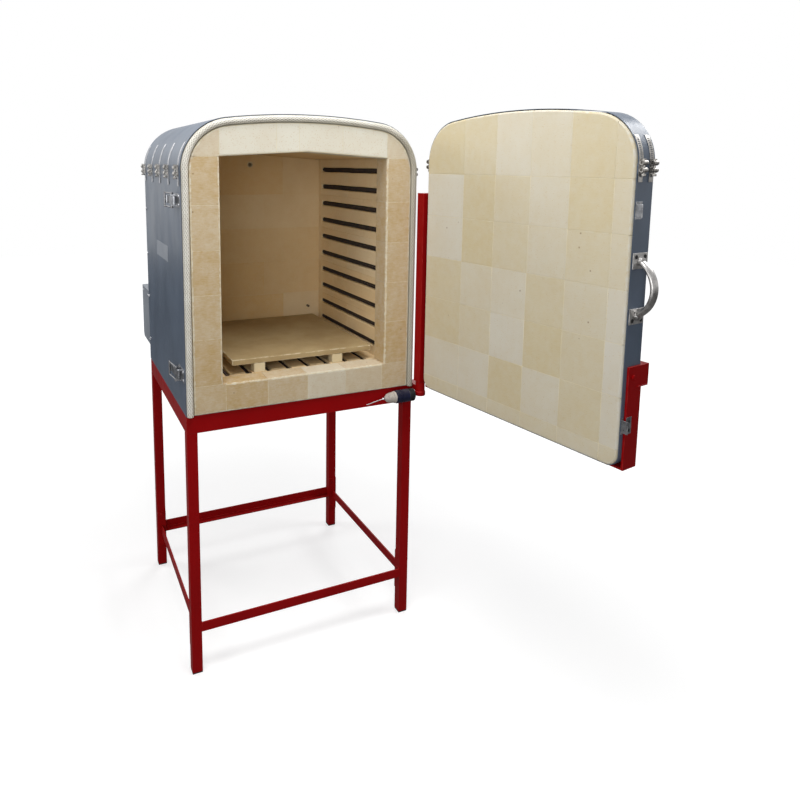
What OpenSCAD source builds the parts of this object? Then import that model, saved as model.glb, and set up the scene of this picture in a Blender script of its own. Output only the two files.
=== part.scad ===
// Front-loading electric kiln on a welded stand, with a brick door on a swinging post.
// Millimetres, +Z up. The origin is the centre of the stand's footprint, on the floor.

/* [Stand] */
// width of the stand and of the kiln jacket
stand_w = 670; // [640:1:720]
// depth of the stand
stand_d = 595; // [580:1:630]
// height of the top of the rails above the floor
stand_h = 738; // [600:1:850]
// side of the square leg tube
leg_w = 28; // [26:0.5:32]
// wall of the leg and rail tubes
tube_t = 2.5; // [2:0.5:4]
// height of the top rails
rail_h = 48; // [46:1:56]
// thickness of the foot plugs under the legs
plug_h = 4; // [3:0.5:8]
// height of the plug inside the leg
plug_in = 22; // [15:1:40]
// underside of the stretchers above the floor
stretcher_z = 121; // [90:1:200]
// width of the stretcher angle
angle_w = 28; // [24:1:32]
// thickness of the stretcher angle and its end plates
angle_t = 4; // [3:0.5:5]
// height of the bolted end plates on the side stretchers
end_plate_h = 124; // [100:1:150]
// shank diameter of the stand bolts
bolt_d = 8; // [6:1:10]

/* [Kiln body] */
// height of the jacket crown above the rails
kiln_h = 782; // [770:1:820]
// radius of the jacket shoulders
shoulder_r = 135; // [120:1:150]
// radius of the shallow crown
crown_r = 1700; // [1500:10:2000]
// thickness of the jacket sheet
sheet_t = 1.2; // [0.8:0.1:1.6]
// distance from the jacket's outside to the brick outline
brick_in = 20; // [18:0.5:24]
// thickness of the wall bricks
brick_t = 64; // [60:1:67]
// thickness of the floor bricks
floor_t = 76; // [70:1:80]
// thickness of the base pan
pan_t = 2; // [1.5:0.5:3]
// brick front ahead of the stand's front
front_proud = 6; // [4:0.5:10]
// brick back behind the stand's back
back_proud = 4.5; // [3:0.5:8]
// width of the mortar joints
joint_w = 0.8; // [0.5:0.1:0.9]
// width of the jamb bricks beside the opening
jamb_w = 77; // [70:1:90]
// height of the lintel's ends, from the jacket crown
lintel_h = 111; // [104:1:114]
// extra height of the lowest brick course
first_extra = 8; // [4:1:12]
// extra height of the top brick course
top_extra = 7; // [4:1:12]
// rise of the opening and roof to the middle
gable_rise = 15; // [8:1:25]

/* [Heating] */
// radius of an element groove
groove_r = 8.2; // [7:0.1:9]
// gap from a coil to its groove
coil_gap = 0.6; // [0.3:0.1:0.8]
// radius of the bars that join the coils
link_r = 4.5; // [3:0.1:5]
// grooves in each side wall
side_rows = 10; // [10]
// grooves in the floor
floor_rows = 8; // [8]
// distance from the side walls to the outer floor grooves
floor_margin = 44.5; // [30:0.5:60]
// bore of the vent tube
vent_d = 13; // [10:0.5:18]
// drop of the vent below the opening's top corners
vent_drop = 21; // [19:1:60]
// diameter of the thermocouple sheath
probe_d = 8; // [6:0.5:10]

/* [Furniture] */
// gap from the shelf's sides to the opening, on average
shelf_side = 27; // [20:1:40]
// gap from the shelf to the frame bricks in front
shelf_front = 1.5; // [1:0.5:40]
// gap from the shelf to the back wall
shelf_back = 6; // [2:0.5:30]
// thickness of the shelf
shelf_t = 16; // [12:1:20]
// height of the shelf props
prop_h = 26; // [20:1:60]
// side of a prop
prop_w = 32; // [24:1:40]

/* [Jacket fittings] */
// radius of the rope gasket
rope_r = 8; // [7:0.1:8.2]
// width of a strap
strap_w = 14; // [10:0.5:18]
// thickness of a strap
strap_t = 0.8; // [0.6:0.1:1]
// distance from the jacket's front to the first strap
strap_margin = 21.5; // [18:0.5:30]
// drop of the clamps below the crown
clamp_drop = 148; // [142:1:154]
// height of a clamp housing
clamp_h = 26; // [22:1:30]
// drop of the straps' lower ends below the crown
strap_drop = 186; // [180:1:196]
// drop of the hood's lower edge below the crown
hood_drop = 170; // [166:1:174]
// depth of the terminal box
box_d = 150; // [110:1:170]
// width of the terminal box
box_w = 300; // [240:1:400]
// height of the terminal box
box_h = 184; // [150:1:220]

/* [Door] */
// angle at which the door stands open
door_open = 98.7; // [80:0.1:110]
// setback of the door's rim from the jacket's side
door_in = 7.6; // [7:0.2:13]
// rise of the door's crown above the jacket's crown
door_rise = 4; // [0:1:12]
// drop of the door hood's lower edge below the door's crown
door_hood_drop = 146; // [142:1:150]
// drop of the door clamps below the door's crown
door_clamp_drop = 130; // [126:1:136]
// length of a door strap below its clamp
door_strap_len = 32; // [26:1:36]
// underside of the door rim above the rails
door_low = 8.2; // [7.6:0.1:12]
// radius of the door shoulders
door_r = 109; // [95:1:125]
// radius of the lower door corners
door_corner = 30; // [20:1:40]
// thickness of the door bricks
door_t = 60; // [56:1:64]
// gap from the rope to the closed door
door_gap = 1; // [0.8:0.1:3]
// front setback of the rim behind the door's brick face
rim_in = 5; // [3:0.5:8]
// height of the carrier beam above the rails
beam_z = 188; // [170:1:220]
// height of the carrier beam
beam_h = 46; // [40:1:60]
// depth of the carrier beam
beam_d = 24; // [20:1:30]
// thickness of the cradle plates
cradle_t = 5; // [4:0.5:6]
// projection of the handle
handle_out = 38; // [34:1:45]
// length of the handle between its plates
handle_len = 152; // [140:1:170]
// drop of the handle's middle below the door's crown
handle_drop = 384; // [360:1:410]

/* [Hinge] */
// distance from the door's side to the hinge axis
hinge_out = 22.6; // [21:0.2:30]
// distance of the hinge axis behind the closed door's face
hinge_back = 9.5; // [8:0.5:14]
// diameter of the fixed spindle
spindle_d = 18; // [16:0.1:18.4]
// running clearance on radius
run_gap = 0.05; // [0.03:0.01:0.09]
// drop of the hinge post's top below the crown
post_drop = 207; // [204:1:240]
// radius of the bracket's round boss
boss_r = 14; // [13:0.5:15]
// height of the bracket's round boss
boss_h = 29; // [24:1:29]

/* [Latches and switch] */
// drop of the upper latch below the crown
latch_drop = 222; // [220:1:240]
// height of the lower latch above the rails
latch_lo = 105; // [100:1:110]
// radius of the latch pivot
latch_pin_r = 3; // [2.5:0.1:3.2]
// radius of the bail wire
bail_r = 2.2; // [1.8:0.1:2.4]
// length of the bail
bail_len = 60; // [50:1:62]
// radius of the door switch
switch_r = 19; // [16:0.5:20]
// length of the door switch
switch_len = 61; // [54:1:63]

/* [Hidden] */
$fn = 48;
crown_fn = 720;
eps = 0.2;
lap = 1;
nest = 0.05;
seat = 0.2;
hw = stand_w / 2;
sd = stand_d / 2;
rail_low = stand_h - rail_h;
plate_mid = stretcher_z + angle_w / 2;
bolt_off = end_plate_h / 2 - bolt_d * 11 / 8;
front_y = -sd - front_proud;
frame_back = front_y + brick_t;
back_y = sd + back_proud - brick_t;
kiln_back = back_y + brick_t + seat;
panel_y = kiln_back + seat;
jacket_back = panel_y + sheet_t;
kiln_zc = mid_z(hw, kiln_h, shoulder_r, crown_r);
brick_hw = hw - brick_in;
wall_in = brick_hw - brick_t;
open_hw = brick_hw - jamb_w;
open_z = kiln_h - lintel_h;
sill_z = pan_t + floor_t;
sill_end = 84;
sill_w = (brick_hw - sill_end) / 2;
lintel_x = [-brick_hw, -open_hw, -open_hw * 0.366, -open_hw * 0.1, open_hw * 0.428, open_hw, brick_hw];
courses = side_rows / 2;
course_h = (open_z - sill_z - first_extra - top_extra) / courses;
wall_z0 = sill_z + joint_w;
course_z0 = sill_z + course_h + first_extra;
coil_r = groove_r - coil_gap;
groove_z0 = course_z0 - course_h * 3 / 4;
row_pitch = course_h / 2;
floor_pitch = 2 * (wall_in - floor_margin) / (floor_rows - 1);
floor_gz = sill_z - groove_r - 1;
wall_gx = wall_in + groove_r + 2;
roof_z = open_z - gable_rise * (wall_in - open_hw) / open_hw;
vent_z = open_z - vent_drop;
probe_x = wall_in - 44;
probe_z = sill_z + 72;
groove_end = back_y - 26;
link_y0 = frame_back + joint_w + groove_r + 1;
brick_l = 230;
back_even = 116;
back_odd = 47;
wiring_gap = 17;
wall_back = kiln_back - wiring_gap;
link_y1 = wall_back + wiring_gap / 2;
shelf_x = 15;
shelf_w = 2 * (open_hw - shelf_side);
shelf_y0 = frame_back + shelf_front;
shelf_y1 = back_y - shelf_back;
shelf_z = sill_z + prop_h;
rope_x = (hw - sheet_t + brick_hw) / 2;
rope_in = hw - rope_x;
rope_y = front_y - 1;
blanket_y = rope_y + rope_r + seat;
hood_o = -sheet_t - seat;
hood_z = kiln_h - hood_drop;
strap_o = hood_o - seat - strap_t;
strap_z = kiln_h - strap_drop;
strap_pitch = (sd - strap_margin) / 2;
strap_up = 32;
clamp_x = hw - strap_o;
clamp_z = kiln_h - clamp_drop;
clamp_w = 18;
clamp_out = 12;
screw_r = 4;
box_x = -hw + 1;
box_z = 44;
box_cut = 12;
box_wall = 2;
gland_x = box_x + box_w / 2;
gland_y = jacket_back + box_d / 3;
gland_r = 8;
gland_nut = 13;
latch_hi = kiln_h - latch_drop;
latch_px = -hw - 10;
latch_py = -sd + 35.5;
base_t = 2;
base_y0 = 26;
base_y1 = 44;
base_hz = 17;
ear_in = 11;
ear_t = 2.5;
ear_y0 = 8;
ear_y1 = 7;
lever_w = 20;
lever_t = 3;
lever_len = 78;
lever_out = 5;
lever_eye = 5.5;
lever_curl = 4;
bail_px = latch_px - 4;
bail_py = latch_py + 14;
bail_w = ear_in + ear_t + 4;
bail_eye = 2.6;
bail_tilt = 6.4;
switch_y = -sd - switch_r - 2.5;
switch_z = -3 - switch_r;
switch_x1 = hw - 6;
switch_x0 = switch_x1 - switch_len;
boot_len = 34;
whisker_x = switch_x0 - boot_len - 4;
whisker_len = 56;
whisker_r = 1.2;
whisker_tilt = 11;
door_hw = hw - door_in;
door_free = -door_hw;
door_top = kiln_h + door_rise;
door_zc = mid_z(door_hw, door_top, door_r, crown_r);
door_split = door_top - door_hood_drop;
door_face = rope_y - rope_r - door_gap;
rim_back = door_t + sheet_t + 2 * seat;
slab_o = sheet_t + 0.6;
col_first = 47.4;
col_last = 149.4;
col_w = (2 * door_hw - col_first - col_last) / 4;
row_first = 51.5;
row_last = 155.7;
row_h = (door_top - row_first - row_last) / 5;
door_clamp_z = door_top - door_clamp_drop;
door_strap_z = door_clamp_z - door_strap_len;
clamp_ts = [14, door_t - 10];
handle_z = door_top - handle_drop;
handle_t = 32;
handle_pt = 3;
handle_pw = 50;
handle_ph = 34;
handle_bar = 6.2;
handle_screw = 4;
strike_t0 = 6;
strike_t = 2;
strike_out = 17;
strike_hz = 14;
strike_foot_hz = 18;
strike_foot_hi = 27;
strike_foot_lo = 12;
strike_up = 6;
beam_t0 = rim_back + seat + 0.5;
beam_t1 = beam_t0 + beam_d;
cradle_x = door_hw + 0.6;
cradle_t0 = 15;
cradle_t1 = 46;
cradle_low = door_low - seat - 4.4;
hinge_x = door_hw + hinge_out;
hinge_y = door_face - hinge_back;
post_low = -11;
post_top = kiln_h - post_drop;
post_z0 = post_low + boss_h + 1;
post_plug = 40;
spindle_low = 12;
spindle_gap = 16;
nut_r = 16;
nut_h = 14;
bracket_step = 12;
arc_s = 12;
arc_c = 16;

function mid_z(w, h, rs, rc) = h - rc + sqrt(pow(rc - rs, 2) - pow(w - rs, 2));
function crown_a(w, rs, rc) = asin((w - rs) / (rc - rs));
function arc_pts(cx, cz, r, a0, a1, n, i0, i1) =
  [for (i = [i0:i1]) [cx + r * cos(a0 + (a1 - a0) * i / n), cz + r * sin(a0 + (a1 - a0) * i / n)]];
function arch_top(w, h, rs, rc, o) =
  let (a = crown_a(w, rs, rc), zc = mid_z(w, h, rs, rc))
  concat(arc_pts(w - rs, zc, rs - o, 0, 90 - a, arc_s, 0, arc_s),
    arc_pts(0, h - rc, rc - o, 90 - a, 90 + a, arc_c, 1, arc_c - 1),
    arc_pts(rs - w, zc, rs - o, 90 + a, 180, arc_s, 0, arc_s));
function kiln_arch(o, zb) =
  concat([[hw - o, zb]], arch_top(hw, kiln_h, shoulder_r, crown_r, o), [[o - hw, zb]]);
function door_arch(o) =
  concat(arc_pts(door_hw - door_corner, door_low + door_corner, door_corner - o, -90, 0, 6, 0, 6),
    arch_top(door_hw, door_top, door_r, crown_r, o),
    arc_pts(door_corner - door_hw, door_low + door_corner, door_corner - o, 180, 270, 6, 0, 6));
function opening() =
  [[open_hw, -1], [open_hw, open_z], [0, open_z + gable_rise], [-open_hw, open_z], [-open_hw, -1]];
function row_z(i) = groove_z0 + row_pitch * i;
function floor_x(i) = floor_pitch * (i - (floor_rows - 1) / 2);
function gable(x) = open_z + gable_rise * (1 - abs(x) / open_hw);
function course_low(c) = c == 0 ? wall_z0 : course_z0 + course_h * (c - 1) + joint_w;
function door_y(t) = door_face - t;
function col_x(i) = i == 0 ? -door_hw : i == 6 ? door_hw : col_first - door_hw + col_w * (i - 1);
function row_low(j) = j == 0 ? 0 : j == 7 ? door_top : row_first + row_h * (j - 1);

module up() {
  translate([0, 0, stand_h]) children();
}

// a flat outline in X and Z, stood up and made thick from y0 to y1
module slab(pts, y0, y1) {
  translate([0, y1, 0]) rotate([90, 0, 0]) linear_extrude(y1 - y0) polygon(pts);
}

module box(x0, x1, y0, y1, z0, z1) {
  translate([x0, y0, z0]) cube([x1 - x0, y1 - y0, z1 - z0]);
}

module rod_y(x, z, y0, y1, r) {
  translate([x, y1, z]) rotate([90, 0, 0]) cylinder(r = r, h = y1 - y0);
}

module rod_x(x0, x1, y, z, r) {
  translate([x0, y, z]) rotate([0, 90, 0]) cylinder(r = r, h = x1 - x0);
}

module rod_z(x, y, z0, z1, r) {
  translate([x, y, z0]) cylinder(r = r, h = z1 - z0);
}

// bent sheet over an arch: two shoulders, with the crown and the straight sides let into them
module arch_sheet(w, h, rs, o, t, y0, y1, zb) {
  a = crown_a(w, rs, crown_r);
  zc = mid_z(w, h, rs, crown_r);
  len = y1 - y0;
  ti = t - 2 * nest;
  al = lap / crown_r * 180 / PI;
  translate([0, y1, 0]) rotate([90, 0, 0]) {
    translate([0, h - crown_r, nest]) rotate([0, 0, 90 - a - al])
      rotate_extrude(angle = 2 * (a + al), $fn = crown_fn)
        translate([crown_r - o - t + nest, 0]) square([ti, len - 2 * nest]);
    for (m = [0, 1]) mirror([m, 0, 0]) {
      translate([w - rs, zc, 0])
        rotate_extrude(angle = 90 - a) translate([rs - o - t, 0]) square([t, len]);
      translate([w - o - t + nest, zb, nest]) cube([ti, zc - zb + lap, len - 2 * nest]);
    }
  }
}

// strap that lies on a shoulder and hangs down the side, at depth y
module strap(w, h, rs, o, y, z_low) {
  zc = mid_z(w, h, rs, crown_r);
  translate([0, y + strap_w / 2, 0]) rotate([90, 0, 0]) {
    translate([w - rs, zc, 0])
      rotate_extrude(angle = strap_up) translate([rs - o - strap_t, 0]) square([strap_t, strap_w]);
    translate([w - o - strap_t + nest, z_low, nest])
      cube([strap_t - 2 * nest, zc - z_low + lap, strap_w - 2 * nest]);
  }
}

// worm clamp on a strap's face at x, with its screw upright
module clamp(x, y, z) {
  sx = x + clamp_out / 2 + 0.5;
  difference() {
    union() {
      box(x, sx, y - clamp_w / 2, y + clamp_w / 2, z - clamp_h / 2, z + clamp_h / 2);
      rod_z(sx, y, z - clamp_h / 2, z + clamp_h / 2, clamp_out / 2);
    }
    rod_z(sx, y, z - clamp_h, z + clamp_h, screw_r + seat);
  }
  rod_z(sx, y, z - clamp_h / 2 - 2, z + clamp_h / 2 + 2, screw_r);
  translate([sx, y, z - clamp_h / 2 - 7]) cylinder(r = screw_r + 1.8, h = 5, $fn = 6);
}

module leg(mx, my) {
  zb = plug_h;
  color("firebrick") difference() {
    box(mx * hw - (mx > 0 ? leg_w : 0), mx * hw + (mx > 0 ? 0 : leg_w),
      my * sd - (my > 0 ? leg_w : 0), my * sd + (my > 0 ? 0 : leg_w), zb, rail_low);
    box(mx * (hw - leg_w / 2) - leg_w / 2 + tube_t, mx * (hw - leg_w / 2) + leg_w / 2 - tube_t,
      my * (sd - leg_w / 2) - leg_w / 2 + tube_t, my * (sd - leg_w / 2) + leg_w / 2 - tube_t,
      zb - 1, rail_low + 1);
    for (s = [-1, 1])
      rod_y(mx * (hw - leg_w / 2), plate_mid + s * bolt_off,
        my > 0 ? sd - leg_w - 1 : leg_w - sd - tube_t - 1,
        my > 0 ? sd - leg_w + tube_t + 1 : leg_w - sd + 1, bolt_d / 2 + seat);
  }
}

module front_left_leg() {
  leg(-1, -1);
}

module front_right_leg() {
  leg(1, -1);
}

module rear_left_leg() {
  leg(-1, 1);
}

module rear_right_leg() {
  leg(1, 1);
}

// mitred rail tube along X at the front, a wide and b half the depth
module rail(a, b) {
  t = tube_t;
  color("firebrick") translate([0, 0, rail_low]) difference() {
    linear_extrude(rail_h)
      polygon([[-a, -b], [a, -b], [a - leg_w, leg_w - b], [leg_w - a, leg_w - b]]);
    translate([0, 0, t]) linear_extrude(rail_h - 2 * t)
      polygon([[t - a, t - b], [a - t, t - b], [a - leg_w + t, leg_w - b - t],
        [leg_w - a - t, leg_w - b - t]]);
  }
}

module front_rail() {
  rail(hw, sd);
}

module rear_rail() {
  rotate([0, 0, 180]) rail(hw, sd);
}

module left_rail() {
  rotate([0, 0, -90]) rail(sd, hw);
}

module right_rail() {
  rotate([0, 0, 90]) rail(sd, hw);
}

// angle along X with its outer face at y = -b
module angle_bar(a, b) {
  box(-a, a, -b, angle_t - b, stretcher_z, stretcher_z + angle_w);
  box(-a, a, -b, angle_w - b, stretcher_z, stretcher_z + angle_t);
}

module front_stretcher() {
  color("firebrick") angle_bar(hw - leg_w, sd);
}

module rear_stretcher() {
  color("firebrick") rotate([0, 0, 180]) angle_bar(hw - leg_w, sd);
}

module side_stretchers() {
  color("firebrick") for (s = [-1, 1]) difference() {
    union() {
      box(s * (hw - leg_w / 2) - angle_t / 2, s * (hw - leg_w / 2) + angle_t / 2,
        leg_w - sd, sd - leg_w, stretcher_z, stretcher_z + angle_w);
      for (e = [-1, 1])
        box(s * (hw - leg_w / 2) - leg_w / 2, s * (hw - leg_w / 2) + leg_w / 2,
          e * (sd - leg_w - angle_t / 2) - angle_t / 2, e * (sd - leg_w - angle_t / 2) + angle_t / 2,
          plate_mid - end_plate_h / 2, plate_mid + end_plate_h / 2);
    }
    for (v = [-1, 1])
      rod_y(s * (hw - leg_w / 2), plate_mid + v * bolt_off, -sd, sd, bolt_d / 2 + seat);
  }
}

module foot_plugs() {
  q = leg_w - 2 * tube_t - 2 * seat;
  color("dimgray") for (sx = [-1, 1], sy = [-1, 1])
    translate([sx * (hw - leg_w / 2), sy * (sd - leg_w / 2), 0]) {
      box(-leg_w / 2, leg_w / 2, -leg_w / 2, leg_w / 2, 0, plug_h);
      box(-q / 2, q / 2, -q / 2, q / 2, 0, plug_h + plug_in);
    }
}

module stand_bolts() {
  yb = sd - leg_w - angle_t;
  color("silver") for (sx = [-1, 1], sy = [-1, 1], v = [-1, 1])
    translate([sx * (hw - leg_w / 2), sy * yb, plate_mid + v * bolt_off])
    rotate([sy * 90, 0, 0]) {
      cylinder(d = bolt_d * 1.75, h = bolt_d * 0.66, $fn = 6);
      translate([0, 0, -angle_t - tube_t - bolt_d / 2])
        cylinder(d = bolt_d, h = angle_t + tube_t + bolt_d / 2 + 1);
    }
}

module base_pan() {
  color("slategray") up() box(sheet_t + seat - hw, hw - sheet_t - seat, blanket_y, kiln_back, 0, pan_t);
}

module floor_bricks() {
  zc = floor_gz;
  y0 = link_y0 - groove_r;
  color("wheat") up() difference() {
    box(-brick_hw, brick_hw, frame_back + joint_w, kiln_back, pan_t, sill_z);
    for (i = [0:floor_rows - 1]) {
      rod_y(floor_x(i), zc, y0, kiln_back + 1, groove_r);
      box(floor_x(i) - groove_r + eps, floor_x(i) + groove_r - eps, y0, groove_end,
        zc, sill_z + 1);
    }
    for (i = [0:2:floor_rows - 1])
      box(floor_x(i), floor_x(i + 1), link_y0 - link_r - 1, link_y0 + link_r + 1,
        zc - link_r - 1, sill_z + 1);
    box(floor_x(0) - groove_r, floor_x(floor_rows - 1) + groove_r, wall_back + 3, kiln_back + 1,
      zc - groove_r - 1, zc + groove_r);
  }
}

module sill_bricks() {
  x0 = sill_end - brick_hw;
  color("wheat") up() for (i = [0:5])
    box(i == 0 ? -brick_hw : x0 + (i - 1) * sill_w + joint_w, i == 5 ? brick_hw : x0 + i * sill_w,
      front_y, frame_back, pan_t, sill_z);
}

// one side wall in courses, for the side x > 0
module wall() {
  gx = wall_gx;
  for (c = [0:courses - 1], j = [0:2]) {
    z1 = c == courses - 1 ? roof_z : course_z0 + course_h * c;
    cut = frame_back + (c % 2 == 0 ? brick_l : brick_l / 2) + brick_l * j;
    y0 = j == 0 ? frame_back + joint_w : cut - brick_l + joint_w;
    y1 = j == 2 ? wall_back : cut;
    difference() {
      intersection() {
        box(wall_in, brick_hw, y0, y1, course_low(c), z1);
        slab(kiln_arch(brick_in + seat, 0), frame_back - 1, kiln_back + 1);
      }
      for (i = [2 * c, 2 * c + 1]) {
        rod_y(gx, row_z(i), frame_back, kiln_back, groove_r);
        box(wall_in - 1, gx, frame_back, groove_end,
          row_z(i) - groove_r + eps, row_z(i) + groove_r - eps);
      }
      box(wall_in - 1, gx + link_r + 1, link_y0 - link_r - 1, link_y0 + link_r + 1,
        row_z(2 * c), row_z(2 * c + 1));
    }
  }
}

module right_wall_bricks() {
  color("wheat") up() wall();
}

module left_wall_bricks() {
  color("wheat") up() mirror([1, 0, 0]) wall();
}

module back_wall_bricks() {
  w = wall_in - joint_w;
  color("wheat") up() for (c = [0:courses - 1], j = [0:2]) {
    z1 = c == courses - 1 ? open_z + gable_rise : course_z0 + course_h * c;
    cut = (c % 2 == 0 ? back_even : back_odd) - brick_l * (1 - j);
    difference() {
      intersection() {
        box(j == 0 ? -w : cut - brick_l + joint_w, j == 2 ? w : cut, back_y, kiln_back, course_low(c), z1);
        slab([[-w, 0], [w, 0], [w, gable(w) - joint_w], [0, gable(0) - joint_w], [-w, gable(w) - joint_w]],
          back_y - 1, kiln_back + 1);
      }
      rod_y(0, vent_z, back_y - 1, kiln_back + 1, vent_d / 2 + 4);
      rod_y(probe_x, probe_z, back_y - 1, kiln_back + 1, probe_d / 2 + seat);
    }
  }
}

// roof in two leaves that lean on each other at the middle
module roof_bricks() {
  color("wheat") up() for (m = [0, 1]) mirror([m, 0, 0]) difference() {
    intersection() {
      box(joint_w / 2, brick_hw, frame_back + joint_w, kiln_back, roof_z, kiln_h);
      slab(kiln_arch(brick_in + seat, 0), frame_back, kiln_back + 1);
    }
    slab([[-1, 0], [wall_in, 0], [wall_in, gable(wall_in)], [0, gable(0)], [-1, gable(0)]],
      frame_back, kiln_back + 1);
    box(0, brick_hw + 1, frame_back, kiln_back + 1, 0, roof_z + joint_w);
  }
}

// one jamb in courses, for the side x > 0
module jamb() {
  for (c = [0:courses - 1]) {
    z1 = c == courses - 1 ? open_z - joint_w : course_z0 + course_h * c;
    intersection() {
      box(open_hw, brick_hw, front_y, frame_back, course_low(c), z1);
      slab(kiln_arch(brick_in, 0), front_y - 1, frame_back + 1);
    }
  }
}

module right_jamb_bricks() {
  color("wheat") up() jamb();
}

module left_jamb_bricks() {
  color("wheat") up() mirror([1, 0, 0]) jamb();
}

module lintel_bricks() {
  color("wheat") up() difference() {
    for (i = [0:5]) intersection() {
      box(lintel_x[i] + joint_w / 2, lintel_x[i + 1] - joint_w / 2,
        front_y, frame_back, open_z, kiln_h);
      slab(kiln_arch(brick_in, 0), front_y - 1, frame_back + 1);
    }
    slab(opening(), front_y - 1, frame_back + 1);
  }
}

// coils of one side wall joined in one run, for the side x > 0
module wall_run() {
  gx = wall_gx;
  for (i = [0:side_rows - 1])
    rod_y(gx, row_z(i), link_y0 - coil_r, link_y1 + coil_r, coil_r);
  for (i = [0:2:side_rows - 2])
    rod_z(gx, link_y0, row_z(i), row_z(i + 1), link_r);
  for (i = [1:2:side_rows - 3])
    rod_z(gx, link_y1, row_z(i), row_z(i + 1), link_r);
}

module right_elements() {
  color("dimgray") up() wall_run();
}

module left_elements() {
  color("dimgray") up() mirror([1, 0, 0]) wall_run();
}

module floor_elements() {
  zc = floor_gz;
  color("dimgray") up() {
    for (i = [0:floor_rows - 1])
      rod_y(floor_x(i), zc, link_y0 - coil_r, link_y1 + coil_r, coil_r);
    for (i = [0:2:floor_rows - 2])
      rod_x(floor_x(i), floor_x(i + 1), link_y0, zc, link_r);
    for (i = [1:2:floor_rows - 3])
      rod_x(floor_x(i), floor_x(i + 1), link_y1, zc, link_r);
  }
}

module thermocouple() {
  color("tan") up() {
    rod_y(probe_x, probe_z, back_y - 12, jacket_back + 4, probe_d / 2);
    rod_y(probe_x, probe_z, jacket_back + seat, jacket_back + 26, probe_d / 2 + 10);
  }
}

module vent_tube() {
  color("linen") up() difference() {
    rod_y(0, vent_z, back_y, jacket_back + 14, vent_d / 2 + 4 - seat);
    rod_y(0, vent_z, back_y - 1, jacket_back + 15, vent_d / 2);
  }
}

module fibre_blanket() {
  color("white") up() {
    for (m = [0, 1]) mirror([m, 0, 0])
      box(brick_hw + seat, hw - sheet_t - seat, blanket_y, kiln_back, pan_t, kiln_zc - seat);
    difference() {
      slab(kiln_arch(seat, kiln_zc), blanket_y, kiln_back);
      slab(kiln_arch(brick_in, 0), blanket_y - 1, kiln_back + 1);
    }
  }
}

// flat side of the jacket, for the side x > 0
module casing() {
  box(hw - sheet_t, hw, -sd, jacket_back, 0, kiln_zc - seat);
}

module right_casing() {
  color("slategray") up() casing();
}

module left_casing() {
  color("slategray") up() mirror([1, 0, 0]) casing();
}

module hood() {
  color("slategray") up()
    arch_sheet(hw, kiln_h, shoulder_r, hood_o, sheet_t, -sd, jacket_back, hood_z);
}

module back_panel() {
  color("slategray") up() difference() {
    slab(kiln_arch(sheet_t + seat, 0), panel_y, jacket_back);
    rod_y(0, vent_z, kiln_back, jacket_back + 1, vent_d / 2 + 4);
    rod_y(probe_x, probe_z, kiln_back, jacket_back + 1, probe_d / 2 + seat);
  }
}

module rope_gasket() {
  a = crown_a(hw, shoulder_r, crown_r);
  al = lap / crown_r * 180 / PI;
  color("ivory") up() translate([0, rope_y, 0]) rotate([90, 0, 0]) {
    translate([0, kiln_h - crown_r, 0]) rotate([0, 0, 90 - a - al])
      rotate_extrude(angle = 2 * (a + al), $fn = crown_fn)
        translate([crown_r - rope_in, 0]) circle(rope_r - 2 * nest, $fn = 48);
    for (m = [0, 1]) mirror([m, 0, 0]) {
      translate([hw - shoulder_r, kiln_zc, 0])
        rotate_extrude(angle = 90 - a) translate([shoulder_r - rope_in, 0]) circle(rope_r);
      translate([hw - rope_in, seat, 0]) rotate([-90, 0, 0])
        cylinder(r = rope_r - 2 * nest, h = kiln_zc - seat + lap);
    }
  }
}

module hood_straps() {
  color("silver") up() for (m = [0, 1], i = [-2:2])
    mirror([m, 0, 0]) strap(hw, kiln_h, shoulder_r, strap_o, strap_pitch * i, strap_z);
}

module strap_clamps() {
  color("silver") up() for (m = [0, 1], i = [-2:2])
    mirror([m, 0, 0]) clamp(clamp_x + seat, strap_pitch * i, clamp_z);
}

module box_shape(i) {
  pts = [[jacket_back + seat, box_z + i], [jacket_back + box_d - box_cut, box_z + i],
    [jacket_back + box_d - i, box_z + box_cut], [jacket_back + box_d - i, box_z + box_h - i],
    [jacket_back + seat, box_z + box_h - i]];
  translate([box_x + i, 0, 0]) rotate([90, 0, 90]) linear_extrude(box_w - 2 * i) polygon(pts);
}

module terminal_box() {
  color("slategray") up() difference() {
    box_shape(0);
    translate([0, -1, 0]) box_shape(box_wall);
    rod_z(gland_x, gland_y, box_z - 1, box_z + 2 * box_wall, gland_r);
  }
}

module cable_gland() {
  r = gland_r;
  color("black") up() translate([gland_x, gland_y, box_z]) difference() {
    union() {
      rod_z(0, 0, -1.5 * r, r, r - seat);
      rod_z(0, 0, -3 * r, -1.25 * r, 1.25 * r);
      translate([0, 0, -r - seat]) cylinder(r = gland_nut, h = r, $fn = 6);
    }
    rod_z(0, 0, -3 * r - 1, r + 1, r * 5 / 8);
  }
}

module kiln_shelf() {
  color("tan") up()
    box(shelf_x - shelf_w / 2, shelf_x + shelf_w / 2, shelf_y0, shelf_y1, shelf_z, shelf_z + shelf_t);
}

module shelf_props() {
  color("linen") up() for (x = [-floor_pitch * 2, floor_pitch * 2], y = [shelf_y0, shelf_y1 - prop_w])
    box(x - prop_w / 2, x + prop_w / 2, y, y + prop_w, sill_z, shelf_z);
}

module latch_base(z) {
  box(-hw - base_t, -hw, latch_py - base_y0, latch_py + base_y1, z - base_hz, z + base_hz);
  for (s = [-1, 1])
    box(latch_px - lever_out, -hw - base_t / 2, latch_py - ear_y0, latch_py + ear_y1,
      z + s * (ear_in + ear_t / 2) - ear_t / 2, z + s * (ear_in + ear_t / 2) + ear_t / 2);
  rod_z(latch_px, latch_py, z - ear_in - ear_t, z + ear_in + ear_t, latch_pin_r);
}

module latch_bases() {
  color("silver") up() for (z = [latch_hi, latch_lo]) latch_base(z);
}

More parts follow.
